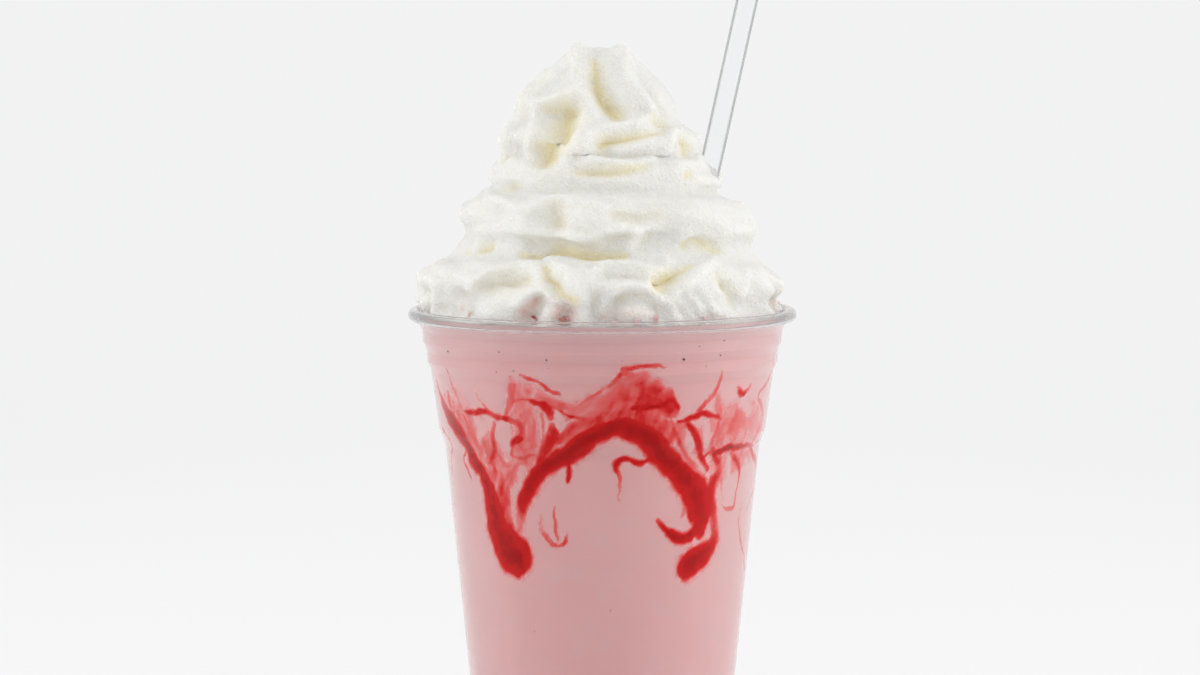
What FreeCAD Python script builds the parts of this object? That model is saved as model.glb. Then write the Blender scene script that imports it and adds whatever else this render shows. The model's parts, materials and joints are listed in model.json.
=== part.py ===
"""Strawberry milkshake in a clear cup with a rolled rim, a piped swirl of whipped cream and a straw.

Millimetres, +Z up. The origin is the middle of the cup's foot, on the surface that it stands on.
"""

import FreeCAD, Part

import math
import os
from collections import namedtuple

from FreeCAD import Vector

# ---------------------------------------------------------------- cup
CUP_HEIGHT = 137.0
RIM_DIAMETER = 98.0
BASE_DIAMETER = 59.0
CUP_WALL = 0.5

BEAD_RADIUS = 1.55       # outside of the rolled rim, in section
CURL_SWEEP = 300.0       # how far round the rim is rolled, in degrees

STEP_COUNT = 3           # stacking steps under the rim
STEP_OUT = 0.93
STEP_RISE = 2.3
BAND_HEIGHT = 2.8        # upright band between two steps
BAND_TAPER = 0.15

COLLAR_HEIGHT = 14.5     # tapered collar between the steps and the shoulder
COLLAR_TAPER = 1.95
SHOULDER_RISE = 4.0
SHOULDER_OUT = 1.5

FOOT_WIDTH = 3.0         # ring that the cup stands on
FOOT_RECESS = 3.0        # how far the floor is pushed up inside the ring
CORNER_RADIUS = 1.2
STEP_CORNER_RADIUS = 0.7

# ---------------------------------------------------------------- straw
STRAW_DIAMETER = 5.4
STRAW_WALL = 0.3
STRAW_LENGTH = 226.0
STRAW_LEAN = 12.35       # degrees from upright, towards +X
STRAW_FOOT_X = -9.7      # where its axis meets the cup's floor
STRAW_FOOT_Y = 1.0

# ---------------------------------------------------------------- drink and cream
FILL_BELOW_RIM = 2.5     # drink level under the top of the rim
CONTACT_GAP = 0.1        # food to cup wall, and food to straw
RIM_MARGIN = 1.0         # cream to the inside of the rim

CREASE_DEPTH = 4.2       # how deep the helical crease between two turns is cut
CREASE_SHARPNESS = 0.8   # under 1 makes rounder turns and a narrower crease
DROOP = 2.4              # how far each turn sags over the one under it
CLIMB_UNEVEN = -0.5      # the rope climbs less in front and more behind

RUFFLE_COUNT = 13        # folds of the lowest turns
RUFFLE_DEPTH = 1.5
RUFFLE_FADE = 14.0       # height over which they die out
RUFFLE_TWIST = 1.3

PEAK_NOTCH_X = -0.8      # notch that parts the tip into two peaks
PEAK_NOTCH_DEPTH = 2.6
PEAK_NOTCH_WIDTH = 2.4
FOLD_DEPTH = 3.4         # crease that runs down the front from the notch
FOLD_WIDTH = 2.3
FOLD_LOW = 49.0
FOLD_HIGH = 66.0
FOLD_SLANT = 5.0         # how far it drifts towards +X on its way down

ROWS_PER_TURN = 9        # control points of the cream's skin
COLUMNS = 72
HEAL = 1e-4              # tolerance at which its two faces are joined

# The rope: turns wound, height above the drink, radius as a share of the widest turn, and how
# far that turn lies off the cup's axis towards +X.
Turn = namedtuple("Turn", "wound height share shift")
SWIRL = (
    Turn(0.0, 0.0, 0.955, 0.0),
    Turn(0.5, 3.2, 0.975, 0.0),
    Turn(1.5, 11.0, 1.0, -0.2),
    Turn(2.5, 23.5, 0.83, 1.2),
    Turn(3.5, 35.0, 0.61, -1.1),
    Turn(4.5, 44.5, 0.59, 0.3),
    Turn(5.2, 52.5, 0.44, -1.0),
    Turn(5.45, 57.5, 0.39, -1.0),
    Turn(5.65, 62.5, 0.30, -0.2),
    Turn(5.85, 67.0, 0.215, 0.0),
    Turn(5.95, 69.8, 0.13, 0.0),
    Turn(6.0, 70.2, 0.0, 0.0),
)

# Scoops and dimples of the cream: degrees from the front towards +X, height, half sizes and depth.
Hollow = namedtuple("Hollow", "angle height wide tall depth")
HOLLOWS = (
    Hollow(-27.0, 47.0, 5.0, 6.0, 3.4),
    Hollow(3.0, 43.0, 3.5, 3.0, 1.8),
    Hollow(-36.0, 8.5, 8.0, 4.0, 2.6),
    Hollow(-17.0, 12.0, 3.0, 4.0, 2.4),
    Hollow(22.0, 10.5, 6.0, 4.5, 3.8),
    Hollow(48.0, 6.5, 4.5, 5.0, 2.8),
    Hollow(-20.5, 2.0, 3.0, 4.0, 2.6),
    Hollow(-12.0, 0.5, 2.5, 3.5, 2.4),
    Hollow(118.0, 9.0, 7.0, 5.0, 2.8),
    Hollow(171.0, 46.0, 5.0, 5.0, 2.4),
    Hollow(-128.0, 10.0, 6.0, 5.0, 2.8),
)

# ---------------------------------------------------------------- places worked out from the sizes
bead_height = CUP_HEIGHT - BEAD_RADIUS
throat_radius = RIM_DIAMETER / 2 - 2 * BEAD_RADIUS + CUP_WALL
mouth_radius = throat_radius - CUP_WALL
floor_height = FOOT_RECESS + CUP_WALL
drink_level = CUP_HEIGHT - FILL_BELOW_RIM
cream_radius = mouth_radius - RIM_MARGIN

Z_AXIS = Vector(0, 0, 1)
ORIGIN = Vector(0, 0, 0)


def rounded_wire(corners, end_edges=()):
    """Wire in the XZ plane through the corners; each is (x, z, radius), the ends have none."""
    points = [Vector(x, 0, z) for x, z, _ in corners]
    radii = [radius for _, _, radius in corners]
    edges = []
    start = points[0]
    for before, at, after, radius in zip(points, points[1:], points[2:], radii[1:]):
        back = (before - at).normalize()
        ahead = (after - at).normalize()
        half = back.getAngle(ahead) / 2
        reach = radius / math.tan(half)
        first = at + back * reach
        last = at + ahead * reach
        middle = at + (back + ahead).normalize() * (radius / math.sin(half) - radius)
        edges.append(Part.LineSegment(start, first).toShape())
        edges.append(Part.Arc(first, middle, last).toShape())
        start = last
    edges.append(Part.LineSegment(start, points[-1]).toShape())
    return Part.Wire(edges + list(end_edges))


def cup_corners():
    """Outer face of the cup in section, from the middle of the floor out and up to the rim."""
    corners = []
    radius, height = throat_radius, bead_height
    corners.append((radius, height, 0))
    height -= BEAD_RADIUS
    for step in range(STEP_COUNT):
        corners.append((radius, height, STEP_CORNER_RADIUS))
        radius, height = radius - STEP_OUT, height - STEP_RISE
        corners.append((radius, height, STEP_CORNER_RADIUS))
        if step < STEP_COUNT - 1:
            radius, height = radius - BAND_TAPER, height - BAND_HEIGHT
    radius, height = radius - COLLAR_TAPER, height - COLLAR_HEIGHT
    corners.append((radius, height, CORNER_RADIUS))
    radius, height = radius - SHOULDER_OUT, height - SHOULDER_RISE
    corners.append((radius, height, CORNER_RADIUS))
    foot_radius = BASE_DIAMETER / 2
    corners.append((foot_radius, 0, CORNER_RADIUS))
    corners.append((foot_radius - FOOT_WIDTH, 0, CORNER_RADIUS))
    corners.append((foot_radius - FOOT_WIDTH - FOOT_RECESS / 2, FOOT_RECESS, CORNER_RADIUS))
    corners.append((0, FOOT_RECESS, 0))
    return corners[::-1]


def rim_curl():
    """Inner face of the rolled rim: an arc over the top, outwards and back under."""
    radius = BEAD_RADIUS - CUP_WALL
    middle = Vector(throat_radius + radius, 0, bead_height)

    def on_curl(degrees):
        turn = math.radians(180 - degrees)
        return middle + Vector(radius * math.cos(turn), 0, radius * math.sin(turn))

    return Part.Arc(on_curl(0), on_curl(CURL_SWEEP / 2), on_curl(CURL_SWEEP)).toShape()


def turned(edges):
    """Solid turned about the cup's axis from the edges that bound its section."""
    outline = Part.Wire(Part.sortEdges(edges)[0])
    return solid_of(Part.Face(outline).revolve(ORIGIN, Z_AXIS, 360))


def line(start, end):
    """Straight edge between two points."""
    return Part.LineSegment(start, end).toShape()


def ends_of(wire):
    """The two ends of a section line that starts on the axis, the end on the axis first."""
    ends = [point for point in (vertex.Point for vertex in wire.Vertexes)
            if sum(edge.distToShape(Part.Vertex(point))[0] < HEAL for edge in wire.Edges) == 1]
    return sorted(ends, key=lambda point: point.x)


def make_cup():
    """Thin-walled cup: one section line, thickened inwards and turned about the axis."""
    outer = rounded_wire(cup_corners(), [rim_curl()])
    inner = outer.makeOffset2D(CUP_WALL, 0, False, True, False)
    caps = [line(start, end) for start, end in zip(ends_of(outer), ends_of(inner))]
    return turned(outer.Edges + inner.Edges + caps)


def cup_space(gap):
    """Solid that fills the cup from its floor to the bead, clear of the wall by the gap."""
    lining = rounded_wire(cup_corners()).makeOffset2D(CUP_WALL + gap, 0, False, True, False)
    low, high = ends_of(lining)
    axis_top = Vector(0, 0, high.z)
    return turned(lining.Edges + [line(high, axis_top), line(axis_top, low)])


def straw_cylinder(radius, length):
    """Cylinder on the straw's axis, from the cup's floor up."""
    lean = math.radians(STRAW_LEAN)
    direction = Vector(math.sin(lean), 0, math.cos(lean))
    rest = floor_height + STRAW_DIAMETER / 2 * math.sin(lean)
    return Part.makeCylinder(radius, length, Vector(STRAW_FOOT_X, STRAW_FOOT_Y, rest), direction)


def make_straw():
    """Square-cut tube that leans in the cup with its lower edge on the floor."""
    outside = straw_cylinder(STRAW_DIAMETER / 2, STRAW_LENGTH)
    bore = straw_cylinder(STRAW_DIAMETER / 2 - STRAW_WALL, STRAW_LENGTH)
    return outside.cut(bore)


def straw_channel():
    """Room that the food leaves for the straw, its bore included."""
    lean = math.radians(STRAW_LEAN)
    radius = STRAW_DIAMETER / 2 + CONTACT_GAP
    channel = straw_cylinder(radius, STRAW_LENGTH)
    below = channel.copy()
    below.translate(Vector(math.sin(lean), 0, math.cos(lean)) * -STRAW_DIAMETER)
    return channel.fuse(below)


def make_milkshake():
    """Drink up to its level, cut round the straw."""
    space = cup_space(CONTACT_GAP)
    under = Part.makeCylinder(RIM_DIAMETER, drink_level)
    return solid_of(space.common(under).cut(straw_channel()))


def along(table, wound):
    """Height, share and shift on the smooth line through the turns of a table."""
    last = len(table) - 2
    index = min(last, max(i for i, turn in enumerate(table) if turn.wound <= wound or i == 0))
    here, there = table[index], table[index + 1]
    before, after = table[max(index - 1, 0)], table[min(index + 2, last + 1)]
    span = there.wound - here.wound
    t = (wound - here.wound) / span
    values = []
    for field in ("height", "share", "shift"):
        first, second = getattr(here, field), getattr(there, field)
        slope_in = (second - getattr(before, field)) / (there.wound - before.wound) * span
        slope_out = (getattr(after, field) - first) / (after.wound - here.wound) * span
        values.append(first * (1 + 2 * t) * (1 - t) ** 2 + slope_in * t * (1 - t) ** 2
                      + second * t * t * (3 - 2 * t) - slope_out * t * t * (1 - t))
    return values


def fade(value, low, high):
    """Smooth step from 0 at low to 1 at high."""
    t = min(1.0, max(0.0, (value - low) / (high - low)))
    return t * t * (3 - 2 * t)


def bump(*offsets):
    """Bell of height 1 over offsets that are given in half widths."""
    return math.exp(-sum(offset * offset for offset in offsets))


def swirl_point(angle, wound):
    """Point of the cream's skin; angle is in radians from +X, wound counts turns from the drink."""
    height, share, shift = along(SWIRL, wound)
    calm = 1 - fade(wound, 5.1, 5.6)
    phase = wound + (angle + CLIMB_UNEVEN * math.cos(angle)) / (2 * math.pi)
    fullness = abs(math.sin(math.pi * phase)) ** CREASE_SHARPNESS
    radius = share * cream_radius - CREASE_DEPTH * calm * (1 - fullness)
    ruffled = 1 - fade(height, 0, RUFFLE_FADE) * 0.75
    wave = math.sin(RUFFLE_COUNT * angle + RUFFLE_TWIST * 2 * math.pi * phase)
    radius -= RUFFLE_DEPTH * calm * ruffled * (1 - wave) / 2
    for hollow in HOLLOWS:
        off = (angle - math.radians(hollow.angle - 90) + math.pi) % (2 * math.pi) - math.pi
        radius -= hollow.depth * bump(off * radius / hollow.wide, (height - hollow.height) / hollow.tall)
    radius = max(radius, 0.0)
    x, y = radius * math.cos(angle), radius * math.sin(angle)

    in_front = fade(-y, 0, FOLD_WIDTH)
    within = fade(height, FOLD_LOW, FOLD_LOW + 4) * in_front
    fold_x = PEAK_NOTCH_X + FOLD_SLANT * (1 - fade(height, FOLD_LOW, FOLD_HIGH))
    y += FOLD_DEPTH * within * bump((x - fold_x) / FOLD_WIDTH) * fade(radius, 0, 2 * FOLD_DEPTH)
    notch = PEAK_NOTCH_DEPTH * fade(height, FOLD_HIGH - 6, FOLD_HIGH)
    sag = DROOP * calm * fullness * fade(height, 0, 2 * DROOP)
    z = drink_level + height - sag - notch * bump((x - PEAK_NOTCH_X) / PEAK_NOTCH_WIDTH)
    return Vector(x + shift, y, z)


def make_whipped_cream():
    """Piped swirl: one smooth skin round the helical turns, closed by its flat underside."""
    rows = round(SWIRL[-1].wound * ROWS_PER_TURN)
    turns = [SWIRL[-1].wound * row / rows for row in range(rows + 1)]
    angles = [2 * math.pi * column / COLUMNS for column in range(COLUMNS)]
    poles = [[swirl_point(angle, wound) for wound in turns] for angle in angles]
    knots_around = list(range(COLUMNS + 1))
    knots_up = list(range(rows - 1))
    ends = [4] + [1] * (rows - 3) + [4]
    skin = Part.BSplineSurface()
    skin.buildFromPolesMultsKnots(poles, [1] * (COLUMNS + 1), ends, knots_around, knots_up, True, False, 3, 3)
    side = skin.toShape()
    base_edge = min(side.Edges, key=lambda edge: edge.BoundBox.ZMax)
    underside = Part.Face(Part.Wire(base_edge))
    shell = Part.makeShell([side, underside])
    shell.fix(HEAL, HEAL, HEAL)
    return solid_of(Part.Solid(shell).cut(straw_channel()))


def solid_of(shape):
    """The largest solid of a shape."""
    return max(shape.Solids, key=lambda solid: solid.Volume)


os.makedirs("parts", exist_ok=True)
for node, make in (
    ("cup", make_cup),
    ("milkshake", make_milkshake),
    ("whipped_cream", make_whipped_cream),
    ("straw", make_straw),
):
    solid = make()
    box = solid.BoundBox
    print(f"{node}: valid {solid.isValid()}, {solid.Volume / 1000:.1f} ml, "
          f"x {box.XMin:.2f}..{box.XMax:.2f}, y {box.YMin:.2f}..{box.YMax:.2f}, z {box.ZMin:.2f}..{box.ZMax:.2f}")
    solid.exportStep(f"parts/{node}.step")
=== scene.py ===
"""Dresses the strawberry milkshake: its clear cup, drink, syrup, whipped cream, straw and fruit specks.

Sizes in the classes are millimetres and become metres where a mesh is made. The cup's axis is the
Z axis, it stands on z = 0, its shown side faces -Y and the straw leans towards +X.
"""

import json
import logging
import math
from collections.abc import Mapping
from dataclasses import dataclass
from enum import Enum

import bmesh
import bpy
import numpy as np
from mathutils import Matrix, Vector
from mathutils.bvhtree import BVHTree

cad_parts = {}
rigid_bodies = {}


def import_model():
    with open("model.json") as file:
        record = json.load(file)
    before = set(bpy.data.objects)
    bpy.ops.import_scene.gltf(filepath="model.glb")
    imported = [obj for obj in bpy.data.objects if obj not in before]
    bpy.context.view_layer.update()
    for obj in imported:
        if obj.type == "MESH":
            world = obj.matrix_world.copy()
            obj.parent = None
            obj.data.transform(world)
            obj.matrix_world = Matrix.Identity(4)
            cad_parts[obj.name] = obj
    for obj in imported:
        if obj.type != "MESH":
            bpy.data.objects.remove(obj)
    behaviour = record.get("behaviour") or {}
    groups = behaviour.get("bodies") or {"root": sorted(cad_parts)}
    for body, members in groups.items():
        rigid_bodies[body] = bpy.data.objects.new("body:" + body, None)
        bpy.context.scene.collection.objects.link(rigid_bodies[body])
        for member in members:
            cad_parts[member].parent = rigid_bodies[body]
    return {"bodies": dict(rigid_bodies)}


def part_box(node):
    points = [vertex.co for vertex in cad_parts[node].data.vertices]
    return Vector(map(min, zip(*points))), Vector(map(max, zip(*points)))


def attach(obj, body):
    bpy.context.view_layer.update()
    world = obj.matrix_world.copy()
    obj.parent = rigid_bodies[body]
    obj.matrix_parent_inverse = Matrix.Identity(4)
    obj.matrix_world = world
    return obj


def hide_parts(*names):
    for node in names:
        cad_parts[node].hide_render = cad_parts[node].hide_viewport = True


MM = 0.001

Array = np.ndarray
Piece = bpy.types.Object
Node = bpy.types.Node
NodeTree = bpy.types.NodeTree
Socket = bpy.types.NodeSocket
Sockets = Mapping[str, Socket]
Feed = float | tuple | Socket
Span = tuple[float, float]
Point = tuple[float, float, float]
Four = tuple[float, float, float, float]
Color = Four
Noise = tuple[float, float, int, int]

log = logging.getLogger("milkshake")


# ---- numbers


def ease(value: Array | float, low: float = 0.0, high: float = 1.0) -> Array | float:
    """Smooth step from 0 at low to 1 at high.

    Args:
        value: Number or array to ease.
        low: Value that gives 0.
        high: Value that gives 1.

    Returns:
        The eased number or array.
    """
    t = np.clip((value - low) / (high - low), 0.0, 1.0)
    return t * t * (3.0 - 2.0 * t)


def smooth_line(stations: Array, at: Array) -> Array:
    """Smooth curve through stations whose first column is the parameter.

    Args:
        stations: Rows of (parameter, value, value ...), in order of the parameter.
        at: Parameters to read the curve at.

    Returns:
        One row of values for each parameter.
    """
    x, y = stations[:, 0], stations[:, 1:]
    slopes = np.gradient(y, x, axis=0)
    index = np.clip(np.searchsorted(x, at) - 1, 0, len(x) - 2)
    span = (x[index + 1] - x[index])[:, None]
    t = np.clip((at - x[index])[:, None] / span, 0.0, 1.0)
    first, second = y[index], y[index + 1]
    return (
        first * (1 + 2 * t) * (1 - t) ** 2
        + slopes[index] * span * t * (1 - t) ** 2
        + second * t * t * (3 - 2 * t)
        - slopes[index + 1] * span * t * t * (1 - t)
    )


def smooth_route(points: Array, steps: int = 8) -> Array:
    """Rounds a route of any number of columns into a dense smooth one.

    Args:
        points: Rows that the route passes through.
        steps: Points made for each stretch.

    Returns:
        The dense route.
    """
    if len(points) < 3:
        return points
    index = np.arange(len(points), dtype=float)
    stations = np.column_stack([index, points])
    return smooth_line(stations, np.linspace(0, len(points) - 1, (len(points) - 1) * steps + 1))


def value_noise(points: Array, size: float, seed: int) -> Array:
    """Smooth random field from -1 to 1.

    Args:
        points: Positions, one row each, of two or three columns.
        size: Size of one lump, in the unit of the points.
        seed: Picks the field.

    Returns:
        One value for each point.
    """
    table = np.random.default_rng(seed).uniform(-1.0, 1.0, 4096)
    scaled = points / size
    cell = np.floor(scaled).astype(np.int64)
    t = scaled - cell
    t = t * t * t * (t * (t * 6 - 15) + 10)
    primes = np.array([73856093, 19349663, 83492791])[: points.shape[1]]
    total = np.zeros(len(points))
    for corner in np.ndindex(*(2,) * points.shape[1]):
        offset = np.array(corner)
        weight = np.prod(np.where(offset == 1, t, 1 - t), axis=1)
        key = np.bitwise_xor.reduce((cell + offset) * primes, axis=1) & 4095
        total += weight * table[key]
    return total


def layered_noise(points: Array, size: float, seed: int, layers: int = 3) -> Array:
    """Sum of ever finer fields, each half as strong as the one before.

    Args:
        points: Positions, one row each.
        size: Size of the coarsest lumps.
        seed: Picks the field.
        layers: How many fields are added.

    Returns:
        One value for each point, about -1 to 1.
    """
    return sum(value_noise(points, size / 2**k, seed + k) / 2**k for k in range(layers)) / 1.5


def shares(route: Array) -> Array:
    """Share of a route's length, from 0 to 1, that lies before each of its corners."""
    done = np.concatenate([[0.0], np.cumsum(np.linalg.norm(np.diff(route, axis=0), axis=1))])
    return done / max(done[-1], 1e-9)


def distance_to_route(points: Array, route: Array) -> tuple[Array, Array]:
    """Shortest distance in the plane from points to a route, and how far along it that is.

    Args:
        points: Positions in the plane, one row each.
        route: Corners of the route in the same plane.

    Returns:
        The distances, and the share of the route at the nearest place, from 0 to 1.
    """
    if len(route) == 1:
        route = np.repeat(route, 2, axis=0)
    best = np.full(len(points), np.inf)
    share = np.zeros(len(points))
    runs = np.linalg.norm(np.diff(route, axis=0), axis=1)
    done = np.concatenate([[0.0], np.cumsum(runs)])
    for index, run in enumerate(runs):
        along = route[index + 1] - route[index]
        t = np.clip((points - route[index]) @ along / max(run * run, 1e-12), 0.0, 1.0)
        distance = np.linalg.norm(points - route[index] - t[:, None] * along, axis=1)
        nearer = distance < best
        best = np.where(nearer, distance, best)
        share = np.where(nearer, (done[index] + t * run) / max(done[-1], 1e-12), share)
    return best, share


# ---- meshes


def make_object(name: str, vertices: Array, faces: list[tuple[int, ...]]) -> Piece:
    """Smooth mesh object from vertices in millimetres.

    Args:
        name: Name of the piece.
        vertices: Rows of x, y, z.
        faces: Lists of vertex numbers, turning so that the face points outwards.

    Returns:
        The new object, at the origin.
    """
    mesh = bpy.data.meshes.new(name)
    mesh.from_pydata((np.asarray(vertices) * MM).tolist(), [], [list(face) for face in faces])
    mesh.shade_smooth()
    piece = bpy.data.objects.new(name, mesh)
    bpy.context.scene.collection.objects.link(piece)
    return piece


def make_line(name: str, points: Array) -> Piece:
    """Object of edges that run through points in millimetres."""
    line = make_object(name, points, [])
    count = len(points) - 1
    line.data.edges.add(count)
    ends = np.column_stack([np.arange(count), np.arange(1, count + 1)])
    line.data.edges.foreach_set("vertices", ends.ravel())
    return line


def turn_section(section: Array, segments: int) -> tuple[Array, list[tuple[int, ...]]]:
    """Turns a section about the Z axis.

    Args:
        section: Rows of (radius, height), a line from the bottom up whose two ends lie on the axis.
        segments: Steps round the axis.

    Returns:
        Vertices and faces.
    """
    angles = np.linspace(0, 2 * math.pi, segments, endpoint=False)
    rings = section[1:-1]
    count = len(rings)
    grid = np.empty((segments, count, 3))
    grid[:, :, 0] = np.cos(angles)[:, None] * rings[:, 0]
    grid[:, :, 1] = np.sin(angles)[:, None] * rings[:, 0]
    grid[:, :, 2] = rings[:, 1]
    vertices = np.vstack([grid.reshape(-1, 3), [[0, 0, section[0, 1]], [0, 0, section[-1, 1]]]])
    bottom, top = segments * count, segments * count + 1
    faces, ends = [], []
    for turn in range(segments):
        here, there = turn * count, (turn + 1) % segments * count
        for ring in range(count - 1):
            faces.append((here + ring, there + ring, there + ring + 1, here + ring + 1))
        ends.append((bottom, there, here))
        ends.append((top, here + count - 1, there + count - 1))
    return vertices, faces + ends


def round_corners(corners: list[Point], arc_steps: int = 6, guard: float = 0.4) -> Array:
    """Line in the section plane whose corners are arcs.

    Args:
        corners: Each is (radius from the axis, height, corner radius); the ends have none.
        arc_steps: Steps of each arc.
        guard: Distance of the guard points from an arc.

    Returns:
        Rows of (radius, height), with guard points beside the arcs so that shading stays flat.
    """
    points = np.array([corner[:2] for corner in corners])
    line = [points[0]]
    for before, at, after, corner in zip(points, points[1:], points[2:], corners[1:]):
        back = (before - at) / np.linalg.norm(before - at)
        ahead = (after - at) / np.linalg.norm(after - at)
        half = math.acos(np.clip(back @ ahead, -1, 1)) / 2
        middle = at + (back + ahead) / np.linalg.norm(back + ahead) * corner[2] / math.sin(half)
        start = at + back * corner[2] / math.tan(half) - middle
        end = at + ahead * corner[2] / math.tan(half) - middle
        turn = math.atan2(start[0] * end[1] - start[1] * end[0], start @ end)
        for step in range(arc_steps + 1):
            c, s = math.cos(turn * step / arc_steps), math.sin(turn * step / arc_steps)
            line.append(middle + [start[0] * c - start[1] * s, start[0] * s + start[1] * c])
    line.append(points[-1])
    guarded = [line[0]]
    for first, second in zip(line, line[1:]):
        run = np.linalg.norm(second - first)
        if run > 4 * guard:
            guarded += [first + (second - first) * guard / run, second - (second - first) * guard / run]
        guarded.append(second)
    return np.array(guarded)


def offset_line(line: Array, distance: float) -> Array:
    """Moves each point of a line in the section plane to its left.

    Args:
        line: Rows of (radius, height).
        distance: How far each point is moved.

    Returns:
        The moved line, with its points no nearer to the axis than 0.
    """
    tangent = np.gradient(line, axis=0)
    tangent /= np.linalg.norm(tangent, axis=1)[:, None]
    moved = line + np.column_stack([-tangent[:, 1], tangent[:, 0]]) * distance
    moved[:, 0] = np.maximum(moved[:, 0], 0.0)
    return moved


def mesh_arrays(piece: Piece) -> tuple[Array, Array]:
    """Vertices in millimetres and vertex normals of a piece's mesh."""
    mesh = piece.data
    vertices = np.empty(len(mesh.vertices) * 3)
    mesh.vertices.foreach_get("co", vertices)
    normals = np.empty(len(mesh.vertices) * 3)
    mesh.vertex_normals.foreach_get("vector", normals)
    return vertices.reshape(-1, 3) / MM, normals.reshape(-1, 3)


def place_vertices(piece: Piece, vertices: Array) -> None:
    """Writes vertices in millimetres back to a piece's mesh."""
    piece.data.vertices.foreach_set("co", (vertices * MM).ravel())
    piece.data.update()


def add_attribute(piece: Piece, name: str, values: Array) -> None:
    """Stores one number for each vertex under a name that materials can read."""
    attribute = piece.data.attributes.new(name, "FLOAT", "POINT")
    attribute.data.foreach_set("value", np.asarray(values, dtype=np.float32))


def neighbour_mean(piece: Piece, values: Array, rounds: int) -> Array:
    """Averages vertex values over their neighbours.

    Args:
        piece: Piece whose edges say which vertices are neighbours.
        values: One row for each vertex.
        rounds: How many times the mean is taken.

    Returns:
        The averaged values.
    """
    mesh = piece.data
    edges = np.empty(len(mesh.edges) * 2, dtype=np.int64)
    mesh.edges.foreach_get("vertices", edges)
    ends = np.concatenate([edges[0::2], edges[1::2]])
    others = np.concatenate([edges[1::2], edges[0::2]])
    count = np.bincount(ends, minlength=len(values))[:, None]
    for _ in range(rounds):
        total = np.column_stack(
            [np.bincount(ends, values[others, axis], len(values)) for axis in range(values.shape[1])]
        )
        values = (values + total) / (count + 1)
    return values


def apply_modifiers(piece: Piece) -> None:
    """Turns a piece's evaluated mesh into its plain mesh and removes its modifiers."""
    depsgraph = bpy.context.evaluated_depsgraph_get()
    mesh = bpy.data.meshes.new_from_object(piece.evaluated_get(depsgraph))
    mesh.name = piece.name
    piece.modifiers.clear()
    piece.data = mesh


# ---- node trees


NUMBER_SOCKETS = {float: "NodeSocketFloat", int: "NodeSocketInt"}


class Tree:
    """Short way to place and join the nodes of one tree."""

    def __init__(self, tree: NodeTree) -> None:
        """Keeps the tree that the nodes go into."""
        self.tree = tree

    def add(self, kind: str, values: dict | None = None, **settings: object) -> Node:
        """Places a node.

        Args:
            kind: Type of the node.
            values: Input name or number to a constant, or to an output socket that feeds it.
            **settings: Properties of the node itself.

        Returns:
            The node.
        """
        node = self.tree.nodes.new(kind)
        for key, setting in settings.items():
            setattr(node, key, setting)
        for key, value in (values or {}).items():
            socket = node.inputs[key]
            if isinstance(value, Socket):
                self.tree.links.new(value, socket)
            else:
                socket.default_value = value
        return node

    def out(self, kind: str, values: dict | None = None, **settings: object) -> Socket:
        """Places a node as add() does and gives its first output."""
        return self.add(kind, values, **settings).outputs[0]

    def math(self, operation: str, *values: Feed, clamp: bool = False) -> Socket:
        """Output of a Math node fed with numbers or sockets in order."""
        inputs = dict(enumerate(values))
        return self.out("ShaderNodeMath", inputs, operation=operation, use_clamp=clamp)

    def vector(self, operation: str, values: dict) -> Socket:
        """Output of a Vector Math node."""
        return self.out("ShaderNodeVectorMath", values, operation=operation)

    def mix(self, factor: Feed, first: Feed, second: Feed) -> Socket:
        """Colour mixed from the first to the second by a factor; each may be a socket."""
        return self.add("ShaderNodeMix", {0: factor, 6: first, 7: second}, data_type="RGBA").outputs[2]

    def span(self, value: Feed, low: float, high: float, start: float = 0.0, end: float = 1.0) -> Socket:
        """Output of a smooth Map Range node, clamped to its ends."""
        inputs = {"Value": value, "From Min": low, "From Max": high, "To Min": start, "To Max": end}
        return self.out("ShaderNodeMapRange", inputs, interpolation_type="SMOOTHSTEP")

    def bump(self, height: Feed, strength: float, distance: float) -> Socket:
        """Normal of a surface that a height roughens; the distance is in metres."""
        return self.out("ShaderNodeBump", {"Height": height, "Strength": strength, "Distance": distance})

    def body(self, values: dict) -> Socket:
        """Shader of a surface with the given properties."""
        return self.out("ShaderNodeBsdfPrincipled", values)

    def blend(self, share: Feed, first: Feed, second: Feed) -> Socket:
        """Shader blended from the first to the second by a share."""
        return self.out("ShaderNodeMixShader", {0: share, 1: first, 2: second})

    def attribute(self, name: str) -> Socket:
        """Number that each vertex carries under a name."""
        return self.add("ShaderNodeAttribute", attribute_name=name).outputs["Fac"]

    def join(self, output: Socket, target: Socket) -> None:
        """Feeds an output to an input."""
        self.tree.links.new(output, target)


def new_group(name: str, kind: str, inputs: dict, outputs: dict) -> tuple[Tree, Sockets, Sockets]:
    """Starts a node group with named sockets.

    Args:
        name: Name of the group.
        kind: "ShaderNodeTree" or "GeometryNodeTree".
        inputs: Socket name to its default number, or to its socket type where it has none.
        outputs: Socket name to socket type.

    Returns:
        The tree, the sockets that bring the inputs in and those that take the outputs.
    """
    group = bpy.data.node_groups.new(name, kind)
    for label, given in inputs.items():
        numbered = NUMBER_SOCKETS.get(type(given))
        socket = group.interface.new_socket(label, in_out="INPUT", socket_type=numbered or given)
        if numbered:
            socket.default_value = given
    for label, socket_type in outputs.items():
        group.interface.new_socket(label, in_out="OUTPUT", socket_type=socket_type)
    tree = Tree(group)
    return tree, tree.add("NodeGroupInput").outputs, tree.add("NodeGroupOutput").inputs


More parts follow.
